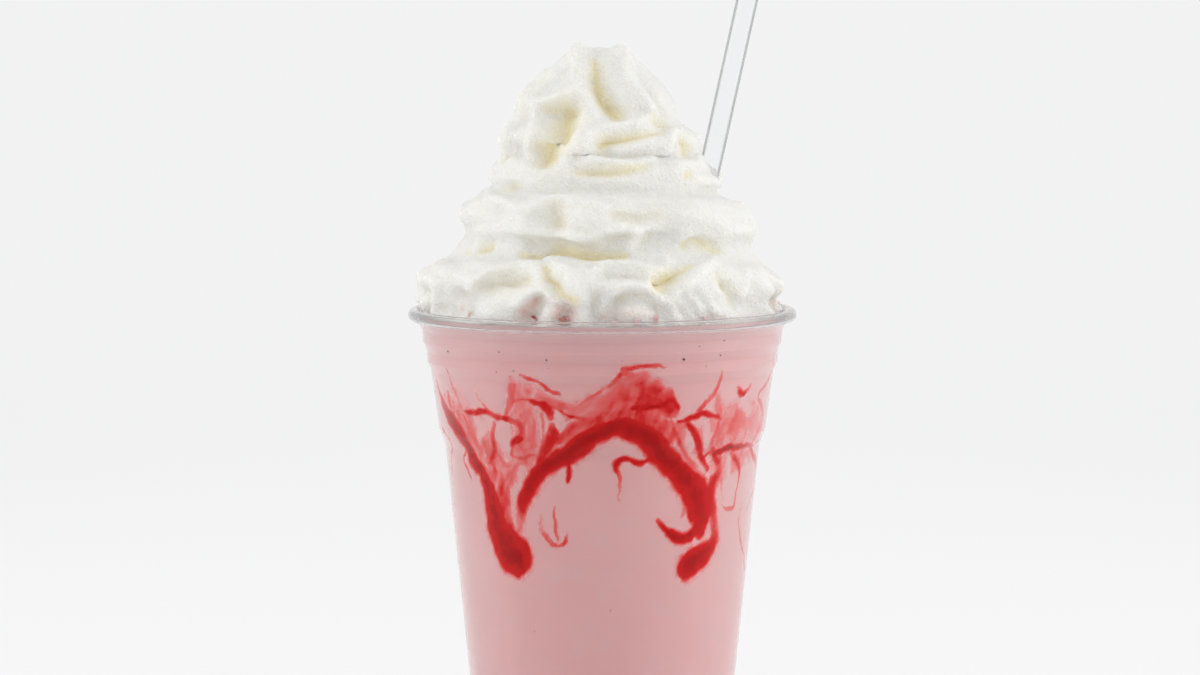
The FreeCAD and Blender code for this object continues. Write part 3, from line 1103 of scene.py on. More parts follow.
SYRUP_RUNS = (
    # arch
    ((-12.5, 104, 2.6, 1), (-9, 106, 3, 1), (-6, 108, 3.1, 1), (-2, 109.5, 2.7, 1),
     (2.5, 111, 2.6, 1), (6.5, 111.5, 2.8, 1), (10.5, 110.5, 3.2, 1), (14.5, 109, 3.5, 1),
     (18.5, 106, 3.6, 1), (22, 103.5, 3.5, 1), (26.5, 100.5, 3.4, 0.98), (31, 97.5, 3.9, 0.97),
     (35.5, 94.5, 4.6, 0.96), (38, 91, 4.8, 0.95), (38.5, 87.5, 4.0, 0.93), (38, 84.5, 2.8, 0.9)),
    # left leg
    ((-10.5, 104.5, 2.4, 1), (-14.5, 103.5, 2.6, 1), (-19.5, 101.5, 2.4, 0.98),
     (-23.5, 99, 2.3, 0.95), (-26.5, 96, 2.4, 0.95), (-29, 93, 2.3, 0.93), (-30.5, 90.5, 2, 0.8),
     (-31.5, 87.5, 1.8, 0.5), (-33, 84.5, 1.7, 0.45)),
    # left run and drop
    ((-73.5, 120, 0.6, 0.5), (-72.5, 117.5, 0.8, 0.6), (-69.5, 114.5, 1.6, 0.85),
     (-66.5, 112, 2.2, 0.92), (-61, 109.5, 2.6, 0.94), (-57, 106.5, 2.5, 0.94),
     (-54, 103.5, 2.4, 0.95), (-52, 100.5, 2.3, 0.95), (-48, 98, 2.3, 0.93), (-45.5, 95, 2.6, 0.93),
     (-44.5, 91.5, 3.2, 0.93), (-43.5, 88, 3.9, 0.94), (-42, 84.5, 4.6, 0.96),
     (-39.5, 81.5, 5.2, 1), (-37, 79.5, 5.8, 1), (-34.5, 78.5, 5.6, 1)),
    ((-40.5, 100.5, 1.5, 0.4), (-38.5, 97, 2.5, 0.55), (-38.5, 93.5, 2.7, 0.6),
     (-38, 89.5, 2.4, 0.62), (-37.5, 86, 2.1, 0.6), (-35.5, 83, 2, 0.6)),
    # right run and drop
    ((43.5, 103, 1.5, 0.6), (46.5, 100, 1.6, 0.65), (44.5, 97, 2, 0.72), (42, 94, 2.4, 0.75),
     (44, 90, 2, 0.65), (46, 86, 1.9, 0.65), (47, 82.5, 2, 0.75), (44.5, 80, 2.7, 0.9),
     (40, 78, 3.6, 0.97), (36.5, 77, 4, 1), (34.5, 76, 3.9, 1)),
    # hooks
    ((20.5, 88, 0.8, 0.6), (23.5, 85.5, 1.2, 0.9), (28, 83.5, 1.6, 0.95), (32, 83, 1.7, 0.95),
     (35.5, 84, 1.9, 0.9)),
    ((20.5, 104, 0.6, 0.6), (16.5, 103, 0.6, 0.65), (13, 102, 0.9, 0.8), (9, 103, 0.9, 0.85),
     (5.5, 103, 1, 0.88), (4.5, 101, 0.8, 0.8), (6, 98.5, 0.7, 0.6), (6, 96, 0.5, 0.45),
     (5.5, 93, 0.4, 0.3)),
    ((30.5, 88.5, 0.8, 0.4), (32, 91.5, 1, 0.5)),
    ((-11.5, 104, 1, 0.95), (-11.5, 101.5, 0.9, 0.9), (-11.5, 99.5, 0.8, 0.8), (-12, 98, 0.7, 0.7)),
    # peak of thin syrup over the arch
    ((-4, 114, 2.6, 0.42), (0, 116, 3.2, 0.48), (4.5, 117, 3.6, 0.52), (9, 118, 3.9, 0.56),
     (14, 117.5, 3.9, 0.62), (19, 116.5, 3.4, 0.64), (23, 115, 2.4, 0.62)),
    ((7.5, 124.5, 1.4, 0.5), (10, 123, 2.2, 0.48), (12, 121, 3, 0.52), (16, 120, 2.8, 0.55),
     (21, 118.5, 2.2, 0.6), (24.5, 116, 1.2, 0.6)),
    ((6.5, 125.5, 0.7, 0.5), (10.5, 126, 0.8, 0.62), (15, 126, 0.8, 0.6), (19.5, 126, 0.5, 0.4)),
    ((-6, 117.5, 0.6, 0.5), (-2, 119.5, 0.6, 0.5), (2.5, 122, 0.7, 0.5), (6, 124.5, 0.7, 0.5)),
    ((10, 116, 0.9, 0.9), (15, 116, 1.1, 0.95), (19.5, 116.5, 1, 0.95), (23, 117.5, 0.8, 0.9),
     (25.5, 115.5, 0.7, 0.75)),
    ((-14, 109, 1.6, 0.6), (-9.5, 111, 2, 0.6), (-4, 112.5, 2, 0.6)),
    # left veil
    ((-30, 123, 0.7, 0.3), (-30, 120.5, 1.5, 0.48), (-31, 117.5, 1.4, 0.5), (-33, 114, 1, 0.45)),
    ((-26.5, 124, 0.45, 0.6), (-23.5, 122.5, 0.5, 0.68), (-21, 122, 0.5, 0.6),
     (-17.5, 120, 0.5, 0.68), (-13.5, 119, 0.5, 0.6)),
    ((-27.5, 120.5, 2.4, 0.34), (-22.5, 119, 2.2, 0.34), (-18, 117.5, 1.8, 0.42),
     (-13, 116.5, 1.4, 0.45), (-8.5, 116, 1.3, 0.42), (-4, 117, 1.6, 0.45)),
    ((-30.5, 117, 0.6, 0.5), (-26, 117.5, 0.6, 0.6), (-21.5, 117, 0.9, 0.78),
     (-18.5, 116, 1.5, 0.8), (-17, 113.5, 1.2, 0.62)),
    ((-16.5, 116.5, 0.5, 0.6), (-12, 114.5, 0.5, 0.65), (-8, 113.5, 0.6, 0.65),
     (-4, 113.5, 0.7, 0.6)),
    ((-17, 112, 1.2, 0.6), (-16.5, 109, 2, 0.75), (-19.5, 105.5, 2.1, 0.72),
     (-22, 102.5, 1.8, 0.72)),
    ((-8, 112, 1.1, 0.5), (-12, 110.5, 1.3, 0.6), (-15, 108, 1.6, 0.7)),
    ((-24, 118, 4, 0.24), (-25, 114, 4.4, 0.24), (-26, 110, 4.4, 0.24), (-27.5, 106, 4, 0.24)),
    ((-24.5, 115, 0.5, 0.45), (-23, 111, 0.45, 0.45), (-24.5, 106, 0.45, 0.42)),
    ((-20.5, 114.5, 0.5, 0.5), (-20, 109.5, 0.5, 0.5), (-21.5, 104, 0.5, 0.5)),
    ((-53, 113.5, 0.7, 0.5), (-47.5, 113.5, 0.9, 0.68), (-42.5, 114, 0.9, 0.72),
     (-38, 113, 1, 0.72), (-34, 112.5, 0.9, 0.66), (-30, 112, 1, 0.6), (-28, 110.5, 1.1, 0.56),
     (-28, 108.5, 1.2, 0.68), (-31, 107.5, 1.2, 0.78), (-32.5, 106, 0.8, 0.6)),
    ((-58, 118, 2.6, 0.2), (-52.5, 113.5, 3.6, 0.24), (-46, 108.5, 4.2, 0.26),
     (-41.5, 104, 4.2, 0.3), (-36.5, 101, 3.6, 0.32)),
    ((-39, 111, 0.8, 0.5), (-40.5, 107.5, 1.1, 0.56), (-40, 104.5, 1.2, 0.62),
     (-42.5, 101.5, 1.4, 0.55), (-41, 98.5, 1.6, 0.5)),
    ((-42, 109, 0.6, 0.45), (-45, 106, 0.8, 0.5), (-44.5, 103, 0.8, 0.45), (-44, 99.5, 0.8, 0.45)),
    ((-32, 106, 0.5, 0.45), (-33, 103.5, 0.6, 0.5), (-29.5, 103, 0.6, 0.55),
     (-24.5, 104, 0.6, 0.5), (-21, 103, 0.7, 0.6)),
    ((-46, 99, 1.6, 0.5), (-39.5, 97.5, 2.4, 0.5), (-34.5, 99, 1.8, 0.45), (-31, 101, 1.2, 0.42),
     (-28.5, 104, 0.8, 0.4)),
    ((-60.5, 123, 0.35, 0.35), (-59.5, 119.5, 0.5, 0.38), (-56.5, 116.5, 0.5, 0.38),
     (-54, 113.5, 0.6, 0.42)),
    ((-46.5, 118.5, 0.4, 0.3), (-44, 116.5, 0.5, 0.36), (-40, 113.5, 0.5, 0.42)),
    ((-63, 117.5, 0.5, 0.45), (-63, 114, 0.7, 0.55)),
    ((-54.5, 112.5, 0.7, 0.55), (-52.5, 110, 0.8, 0.52), (-50.5, 108.5, 0.6, 0.4)),
    ((-57, 104, 0.5, 0.6), (-59.5, 100.5, 0.5, 0.55), (-57, 98, 0.4, 0.5), (-55.5, 95.5, 0.3, 0.4)),
    ((-74.5, 107.5, 0.6, 0.55), (-69.5, 105, 0.6, 0.55), (-70.5, 102.5, 0.5, 0.5),
     (-73.5, 98, 0.4, 0.36), (-75, 94, 0.3, 0.3)),
    ((-17, 91.5, 0.4, 0.4), (-17.5, 88.5, 0.6, 0.58), (-17, 85.5, 0.7, 0.62), (-16, 83, 0.5, 0.45)),
    ((-23, 89, 0.4, 0.28), (-23, 86, 1.1, 0.34), (-21.5, 84, 1, 0.52), (-18.5, 82, 0.8, 0.58),
     (-15, 82, 0.7, 0.52), (-13, 83.5, 0.6, 0.5), (-12.5, 85, 0.4, 0.3)),
    # right veil
    ((41, 124, 0.35, 0.4), (41, 121, 0.6, 0.52), (39, 118.5, 0.9, 0.48), (36, 116, 0.9, 0.48),
     (33, 114, 0.8, 0.52), (29.5, 112.5, 0.8, 0.62), (25.5, 112, 0.6, 0.66)),
    ((40.5, 117.5, 1.6, 0.36), (43.5, 113.5, 2.2, 0.36), (48, 110, 2.8, 0.32),
     (54, 106.5, 2.8, 0.32), (62.5, 106.5, 2.4, 0.32), (68.5, 109, 2.2, 0.3), (68.5, 113, 1.8, 0.3)),
    ((26, 112, 0.6, 0.7), (30, 113, 0.8, 0.78), (35, 113.5, 0.9, 0.78), (40, 113, 0.9, 0.68),
     (44, 112, 0.8, 0.5)),
    ((29.5, 111.5, 1, 0.7), (32.5, 109, 1.2, 0.78), (35, 106, 1.3, 0.74), (37, 103, 1.2, 0.68),
     (40, 100, 0.9, 0.55)),
    ((23, 112, 1, 0.55), (25.5, 108.5, 1, 0.55), (28, 106, 0.9, 0.52), (31, 103, 0.9, 0.52),
     (35, 100.5, 1.2, 0.5)),
    ((42.5, 111, 1, 0.5), (40.5, 107.5, 1, 0.5), (42.5, 104, 1.4, 0.58)),
    ((38, 102.5, 0.5, 0.6), (40.5, 104, 0.5, 0.6)),
    ((43.5, 103.5, 1.1, 0.9), (48, 104.5, 1.3, 0.97), (54.5, 104.5, 1.1, 0.92),
     (62, 104, 0.8, 0.78), (70.5, 104, 0.5, 0.5), (81.5, 104.5, 0.4, 0.4)),
    ((50, 119.5, 0.8, 0.5), (52.5, 117.5, 1.2, 0.72), (55.5, 118, 0.8, 0.6), (58, 119.5, 0.5, 0.4)),
    ((73, 124.5, 0.3, 0.4), (75.5, 121, 0.5, 0.6), (71.5, 119, 0.6, 0.52), (66, 117.5, 0.5, 0.46),
     (65.5, 115.5, 0.5, 0.42), (71, 112.5, 0.8, 0.5), (73, 109.5, 0.8, 0.46),
     (68.5, 107, 0.8, 0.48), (67, 104, 0.8, 0.6), (71, 101, 0.9, 0.66), (78.5, 98, 0.9, 0.66),
     (82.5, 95, 0.8, 0.6), (79.5, 92, 0.6, 0.52), (75, 90, 0.4, 0.42), (70.5, 87, 0.3, 0.34)),
    ((52.5, 103, 1.6, 0.6), (58, 100, 1.2, 0.6), (59.5, 96, 0.6, 0.5), (58, 92, 0.45, 0.42),
     (57.5, 89.5, 0.7, 0.46), (53.5, 89, 0.7, 0.42), (49.5, 90, 0.4, 0.3)),
    ((46.5, 102, 1.2, 0.55), (47.5, 98.5, 0.9, 0.42), (48, 95, 0.6, 0.32), (50, 91.5, 0.4, 0.25)),
    ((66, 90, 0.3, 0.2), (63, 87.5, 0.4, 0.32), (63.5, 84, 0.55, 0.46), (66, 80, 0.55, 0.46),
     (72, 75.5, 0.5, 0.46), (79.5, 70.5, 0.4, 0.42), (83.5, 73, 0.4, 0.36), (83, 75.5, 0.3, 0.2)),
    # wash
    ((-11, 108.5, 2.4, 0.5), (-5, 111.5, 2.5, 0.55), (2.5, 114, 2.6, 0.6), (8, 115, 2.6, 0.64),
     (14, 113.5, 3, 0.64), (19, 111, 3, 0.6), (23, 108, 2.4, 0.55)),
    ((-66, 116, 2, 0.3), (-56, 111, 4, 0.38), (-47, 106, 5, 0.4), (-39, 102, 4.5, 0.42),
     (-34, 98, 3, 0.4)),
    ((-29, 119, 3, 0.38), (-27, 113, 4.5, 0.38), (-27, 107, 4.5, 0.4), (-30, 101, 4, 0.4)),
    ((-12, 115, 2.5, 0.36), (-4, 116.5, 3, 0.4), (4, 119, 3.5, 0.42), (10, 121.5, 3.5, 0.45),
     (17, 120.5, 3, 0.45)),
    ((27, 110, 3, 0.42), (34, 107, 4, 0.42), (42, 109, 5, 0.4), (50, 111, 5, 0.4), (60, 111, 5, 0.38),
     (70, 108, 4, 0.34)),
    ((46, 100, 4, 0.34), (56, 101, 3.5, 0.34), (66, 102, 3, 0.3)),
)
BARE_RUNS = (
    ((-46.5, 111, 1.4, 0.9), (-44.5, 109.5, 1.8, 0.9), (-46.5, 107, 1.2, 0.7)),
    ((-35, 111, 1.3, 0.9), (-35.5, 108.5, 2, 0.95), (-35.5, 105.5, 1.4, 0.9)),
    ((-35.5, 103, 1.3, 0.7),),
    ((-15, 114.5, 1.2, 0.95), (-15.5, 112.5, 1.4, 0.95), (-15.5, 110.5, 0.9, 0.8)),
    ((-29, 100, 1.2, 0.6), (-31, 97, 0.9, 0.6), (-33, 94, 0.7, 0.5)),
    ((30.5, 110, 1, 0.9), (31, 107.5, 1.4, 0.95), (32, 105, 1, 0.85)),
    ((36.5, 111.5, 1, 0.85), (37.5, 109, 1.4, 0.95), (38, 106, 1, 0.9)),
    ((55, 115.5, 2.2, 0.9), (58.5, 113, 1.6, 0.8)),
    ((51.5, 102, 0.9, 0.9), (52, 97.5, 1.2, 0.95), (52.5, 93, 1, 0.9)),
    ((64, 100, 0.9, 0.9), (66.5, 95.5, 1.3, 0.95), (66.5, 91.5, 1.2, 0.9)),
    ((39.5, 83.5, 1, 0.8), (36.5, 82, 0.9, 0.8)),
    ((32.5, 87.5, 1, 0.6), (30, 86, 0.9, 0.5)),
)
SHOWN_RUNS = tuple(Run(stations) for stations in SYRUP_RUNS) + tuple(
    Run(stations, Flow.BARE) for stations in BARE_RUNS
)


@dataclass
class Syrup:
    """Syrup that has run down between the drink and the wall.

    Shares are parts of a run's half width, and fringe is the depth of the film round each run.
    Syrup deeper than firm_span isn't laid bare. The ragged rows are (size, push, seed) of the
    noise that pushes the runs' edges about.
    """

    cup: Cup
    low: float = 66.0
    high: float = 127.0
    cell: float = 0.4
    into_wall: float = 0.3
    thinnest: float = 0.04
    thickness: float = 0.8
    wall_radius: float = 42.0
    ragged: tuple[tuple[float, float, int], ...] = ((5.0, 0.5, 3), (1.6, 0.35, 41), (0.8, 0.16, 67))
    halo: float = 1.0
    tint: float = 0.22
    edge_share: float = 0.8
    widest_edge: float = 1.5
    edge_fade: Span = (-0.5, 0.7)
    swell: float = 0.22
    swell_span: Span = (0.1, 0.9)
    fringe: float = 0.36
    fringe_share: float = 0.6
    widest_fringe: float = 1.4
    fringe_fade: Span = (-1.0, 0.2)
    firm_span: Span = (0.5, 0.62)
    thin_span: Span = (0.6, 0.9)
    streak_size: float = 2.4
    streak_gain: float = 0.32
    streak_seed: int = 77
    far_turn: float = 176.0
    far_rise: float = 2.5
    far_drop: float = 1.0
    far_wave: float = 23.0
    crease: float = 40.0

    def runs(self) -> list[Run]:
        """Runs of the shown side, and the same kind of runs turned round to the far side."""
        far = []
        for run in SHOWN_RUNS:
            stations = []
            for angle, height, width, depth in run.stations:
                raised = height + self.far_rise * math.sin(angle / self.far_wave) - self.far_drop
                stations.append((angle + self.far_turn, raised, width, depth))
            far.append(Run(tuple(stations), run.flow))
        return list(SHOWN_RUNS) + far

    def unroll(self, angle: Array, height: Array) -> Array:
        """Places on the unrolled wall, pushed about so that the edges of the runs are ragged."""
        turn, radius = np.radians(angle), self.wall_radius
        around = np.column_stack([radius * np.cos(turn), radius * np.sin(turn), height])
        flat = np.column_stack([radius * turn, height])
        for size, push, seed in self.ragged:
            flat[:, 0] += push * layered_noise(around, size, seed)
            flat[:, 1] += push * layered_noise(around, size, seed + 9)
        return flat

    def run_depth(self, flat: Array, run: Run, halo: float) -> tuple[Array, Array]:
        """Depth of one run at the places near it.

        Args:
            flat: Places on the unrolled wall.
            run: The run.
            halo: Millimetres by which the run is widened and softened.

        Returns:
            The numbers of the places near the run, and the depth at each.
        """
        lap = 2 * math.pi * self.wall_radius
        stations = smooth_route(np.array(run.stations, dtype=float), 5)
        stations[:, 0] = np.radians(stations[:, 0]) * self.wall_radius
        route, width, strength = stations[:, :2], stations[:, 2] + halo, stations[:, 3]
        reach = 2.0 * width.max()
        middle = (route[:, 0].min() + route[:, 0].max()) / 2
        place = flat.copy()
        place[:, 0] = (place[:, 0] - middle + lap / 2) % lap - lap / 2 + middle
        low, high = route.min(axis=0) - reach, route.max(axis=0) + reach
        near = np.flatnonzero(np.all((place > low) & (place < high), axis=1))
        distance, share = distance_to_route(place[near], route)
        done = shares(route)
        here, strong = np.interp(share, done, width), np.interp(share, done, strength)
        edge = np.minimum(self.edge_share * here, self.widest_edge) + halo
        swell = 1 - self.swell + self.swell * ease(1 - distance / here, *self.swell_span)
        body = strong * swell * ease((here - distance) / edge, *self.edge_fade)
        spread = np.minimum(self.fringe_share * here, self.widest_fringe)
        film = self.fringe * strong * ease((here - distance) / spread, *self.fringe_fade)
        return near, np.maximum(body, film)

    def depth(self, angle: Array, height: Array, halo: float = 0.0) -> Array:
        """How deep the syrup lies, from 0 to 1, at places on the wall.

        Args:
            angle: Degrees round from the front, towards +X.
            height: Heights in millimetres.
            halo: Millimetres by which each run is widened and softened.

        Returns:
            One depth for each place.
        """
        flat = self.unroll(angle, height)
        depths = {flow: np.zeros(len(angle)) for flow in Flow}
        for run in self.runs():
            near, value = self.run_depth(flat, run, halo)
            depths[run.flow][near] = np.maximum(depths[run.flow][near], value)
        laid = depths[Flow.SYRUP]
        laid *= 1 - depths[Flow.BARE] * (1 - ease(laid, *self.firm_span))
        thin = 1 - ease(laid, *self.thin_span)
        slanted = np.column_stack([flat[:, 0] * 1.6 - flat[:, 1] * 0.5, flat[:, 1] * 0.7])
        streaks = layered_noise(slanted, self.streak_size, self.streak_seed)
        return np.clip(laid * (1 + thin * (self.streak_gain * streaks)), 0.0, 1.0)

    def stain(self, angle: Array, height: Array) -> Array:
        """Faint tint of the drink round the syrup, from 0 to 1."""
        return self.tint * self.depth(angle, height, self.halo)

    def build(self, finish: SyrupFinish) -> Piece:
        """Makes the syrup as a thin closed layer between the drink and the wall.

        It casts no shadow, since the drink right behind it carries its tint already.

        Args:
            finish: The syrup's finish.

        Returns:
            The syrup.
        """
        around = round(2 * math.pi * self.wall_radius / self.cell)
        angles = np.linspace(-180.0, 180.0, around, endpoint=False)
        heights = np.arange(self.low, self.high, self.cell)
        grid_angle, grid_height = np.meshgrid(angles, heights, indexing="ij")
        depth = self.depth(grid_angle.ravel(), grid_height.ravel()).reshape(grid_angle.shape)
        covered = depth > self.thinnest
        cells = covered | np.roll(covered, -1, 0)
        cells = cells[:, :-1] | cells[:, 1:]
        line = self.cup.inner_line(self.into_wall)
        rising = line[line[:, 0] > self.cup.base_diameter / 2 - 1.5]
        order = np.argsort(rising[:, 1])
        outer = np.interp(grid_height, rising[order, 1], rising[order, 0])
        syrup = self.layer(np.radians(grid_angle), grid_height, outer, depth, cells)
        syrup.data.materials.append(finish.make())
        syrup.visible_shadow = False
        syrup.visible_diffuse = False
        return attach(syrup, "root")

    def layer(self, angle: Array, height: Array, outer: Array, depth: Array, cells: Array) -> Piece:
        """Closed layer over the marked cells of the unrolled wall.

        Args:
            angle: Grid of angles, in radians.
            height: Grid of heights.
            outer: Grid of outer radii.
            depth: Grid of depths.
            cells: Which cells are covered.

        Returns:
            The layer.
        """
        columns, rows = angle.shape
        number = np.arange(columns * rows).reshape(columns, rows)
        vertices = []
        for radius in (outer, outer - self.thickness):
            x, y = radius * np.sin(angle), -radius * np.cos(angle)
            vertices.append(np.column_stack([x.ravel(), y.ravel(), height.ravel()]))
        back = columns * rows
        empty = np.zeros((columns, 1), dtype=bool)
        open_left, open_right = ~np.roll(cells, 1, 0), ~np.roll(cells, -1, 0)
        open_under, open_over = ~np.hstack([empty, cells[:, :-1]]), ~np.hstack([cells[:, 1:], empty])
        faces = []
        for column, row in np.argwhere(cells):
            right = (column + 1) % columns
            a, b = number[column, row], number[right, row]
            c, d = number[right, row + 1], number[column, row + 1]
            faces += [(a, b, c, d), (a + back, d + back, c + back, b + back)]
            sides = ((open_left, d, a), (open_right, b, c), (open_under, a, b), (open_over, c, d))
            for is_open, first, second in sides:
                if is_open[column, row]:
                    faces.append((second, first, first + back, second + back))
        faces = np.array(faces)
        used, renumbered = np.unique(faces, return_inverse=True)
        syrup = make_object("syrup", np.vstack(vertices)[used], renumbered.reshape(faces.shape).tolist())
        syrup.data.set_sharp_from_angle(angle=math.radians(self.crease))
        add_attribute(syrup, "depth", np.concatenate([depth.ravel(), depth.ravel()])[used])
        return syrup


# ---- fruit specks


@dataclass(frozen=True)
class Bit:
    """Bit of fruit: degrees round from the front, height, radius and share of the darker colour."""

    angle: float
    height: float
    radius: float
    shade: float


SHOWN_SPECKS = (
    Bit(-60.5, 123.5, 0.23, 0.7), Bit(-57.5, 128.0, 0.30, 1.0), Bit(-35.5, 124.0, 0.19, 0.7),
    Bit(-33.5, 129.0, 0.22, 0.8), Bit(-29.0, 124.5, 0.19, 0.6), Bit(-17.5, 127.5, 0.27, 0.9),
    Bit(-17.0, 125.5, 0.18, 0.7), Bit(6.0, 127.5, 0.18, 0.6), Bit(26.0, 127.5, 0.35, 1.0),
    Bit(31.0, 130.5, 0.19, 0.7), Bit(34.5, 125.5, 0.19, 0.6), Bit(39.5, 128.0, 0.23, 0.8),
    Bit(40.5, 131.5, 0.20, 0.7), Bit(3.0, 66.0, 0.2, 0.3), Bit(-28.0, 60.0, 0.15, 0.3),
)
SHOWN_BERRIES = (
    Bit(-24.5, 137.4, 1.0, 0.9), Bit(-22.5, 137.0, 0.94, 0.6), Bit(-13.0, 137.6, 1.1, 0.7),
    Bit(-10.8, 137.2, 1.0, 0.5), Bit(-49.0, 137.2, 0.94, 0.1), Bit(16.0, 137.4, 1.22, 0.25),
    Bit(4.0, 137.0, 1.08, 0.1), Bit(10.5, 137.0, 0.94, 0.15), Bit(34.0, 137.0, 0.81, 0.1),
)


@dataclass
class Bits:
    """One kind of small fruit bits, each sunk into another piece by a share of its radius."""

    name: str
    slot: str
    shown: tuple[Bit, ...]
    flatness: float
    behind: int
    heights: Span
    radii: Span
    seed: int
    sunk: float
    roundness: int = 2
    unevenness: float = 1.2
    lump_share: float = 1.5
    unshown: Span = (75.0, 285.0)

    def everywhere(self) -> list[Bit]:
        """Shown bits and as many more round the sides and the back as the field asks for."""
        random = np.random.default_rng(self.seed)
        ranges = (self.unshown, self.heights, self.radii, (0.0, 1.0))
        more = [Bit(*(random.uniform(*ends) for ends in ranges)) for _ in range(self.behind)]
        return [*self.shown, *more]

    def tree(self) -> NodeTree:
        """Geometry Nodes tree that puts an uneven lump on every point."""
        sizes = {"Flatness": 0.8, "Unevenness": 0.0002, "Lump Size": 0.0005}
        tree, entry, leave = start_geometry("scatter", {**sizes, "Roundness": 2, "Seed": 1})
        points = tree.out("GeometryNodeMeshToPoints", {"Mesh": entry["Geometry"]})
        sphere = {"Radius": 1.0, "Subdivisions": entry["Roundness"]}
        ball = tree.out("GeometryNodeMeshIcoSphere", sphere)
        turns = {"Min": (0.0, 0.0, 0.0), "Max": (6.3, 6.3, 6.3), "Seed": entry["Seed"]}
        turn = tree.out("FunctionNodeRandomValue", turns, data_type="FLOAT_VECTOR")
        radius = tree.out("GeometryNodeInputNamedAttribute", {"Name": "bit_radius"})
        flat = tree.math("MULTIPLY", radius, entry["Flatness"])
        size = tree.out("ShaderNodeCombineXYZ", {"X": radius, "Y": radius, "Z": flat})
        placing = {"Points": points, "Instance": ball, "Rotation": turn, "Scale": size}
        placed = tree.out("GeometryNodeInstanceOnPoints", placing)
        real = tree.out("GeometryNodeRealizeInstances", {"Geometry": placed})
        lumps, push = entry["Lump Size"], entry["Unevenness"]
        return end_geometry(tree, push_points(tree, real, lumps, push), entry, leave)

    def build(self, surface: Piece, finish: SpeckFinish) -> Piece:
        """Makes the bits, each set into a surface.

        Args:
            surface: Piece that the bits sit on.
            finish: The bits' finish.

        Returns:
            The bits, as one piece.
        """
        mesh = surface.data
        corners = [vertex.co for vertex in mesh.vertices]
        tree = BVHTree.FromPolygons(corners, [face.vertices for face in mesh.polygons])
        places, kept = [], []
        for bit in self.everywhere():
            turn = math.radians(bit.angle)
            outward = Vector((math.sin(turn), -math.cos(turn), 0.0))
            start = outward * 0.1 + Vector((0.0, 0.0, bit.height * MM))
            found = tree.ray_cast(start, -outward)[0]
            if found is None:
                continue
            places.append(np.array(found - outward * self.sunk * bit.radius * MM) / MM)
            kept.append(bit)
        bits = make_object(self.name, np.array(places), [])
        add_attribute(bits, "bit_radius", [bit.radius * MM for bit in kept])
        add_attribute(bits, "shade", [bit.shade for bit in kept])
        largest = max(bit.radius for bit in kept) * MM
        values = {
            "Flatness": self.flatness,
            "Unevenness": self.unevenness * largest,
            "Lump Size": self.lump_share * largest,
            "Roundness": self.roundness,
            "Seed": self.seed,
            "Material": finish.make(),
        }
        run_tree(bits, self.tree(), values)
        bits.data.shade_smooth()
        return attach(bits, "root")


SPECKS = Bits(
    "berry_specks", "strawberry_shake", SHOWN_SPECKS, flatness=0.8, behind=30,
    heights=(117.0, 133.0), radii=(0.16, 0.3), seed=5, sunk=0.1,
)
BERRIES = Bits(
    "berry_bits", "cream", SHOWN_BERRIES, flatness=0.6, behind=12,
    heights=(136.8, 138.2), radii=(0.5, 1.1), seed=8, sunk=0.45, roundness=3,
)


# ---- whipped cream


@dataclass(frozen=True)
class RopeTurn:
    """Station of the piped rope: turns wound, height, outer radius, rope radius and shift to +X."""

    wound: float
    height: float
    outer: float
    rope: float
    shift: float


ROPE_TURNS = (
    RopeTurn(-0.5, -5, 43, 7, 0),
    RopeTurn(0.5, 2.8, 44.2, 7, 0),
    RopeTurn(1, 5.5, 44.6, 6.4, 0),
    RopeTurn(1.38, 7.2, 44.8, 5.6, 0),
    RopeTurn(1.5, 9.8, 44.6, 6.2, 0),
    RopeTurn(1.62, 8.6, 45.3, 5.8, 0),
    RopeTurn(2, 16.5, 41, 6.8, 0.4),
    RopeTurn(2.5, 24.3, 36.8, 7.3, 1.2),
    RopeTurn(3.5, 35.4, 28, 5.7, -0.3),
    RopeTurn(3.9, 38.5, 26.5, 4.6, -0.3),
    RopeTurn(4.2, 41, 24.5, 3, 0),
)

# Radius of the filling under the rope and of the crown above it, at heights above the drink.
CORE_PROFILE = (
    (-3, 41), (3, 41.5), (7, 42), (10.5, 42.5), (13.5, 40.5), (16.5, 37.8), (19, 35.8),
    (21, 34.4), (25, 33.6), (29, 32), (31.5, 28.6), (33.5, 26.5), (36, 25.6), (38.5, 24.6),
    (40.5, 23.6), (43, 25), (45, 25), (47, 23.4), (49, 20.8), (51.5, 19.6), (53.5, 19.3),
    (56, 18.2), (59.5, 15.3), (62, 12.9), (65.5, 8.8), (67.2, 5.5), (68, 0),
)


@dataclass(frozen=True)
class Fold:
    """Ridge or crease: stations of across, height, half width and rise, on one facing side."""

    stations: tuple[Four, ...]
    # Share of painted warm shade in the crease; on a juice spot, how strong the stain is.
    shade_and_stain: float = 0.0
    facing: float = 0.0
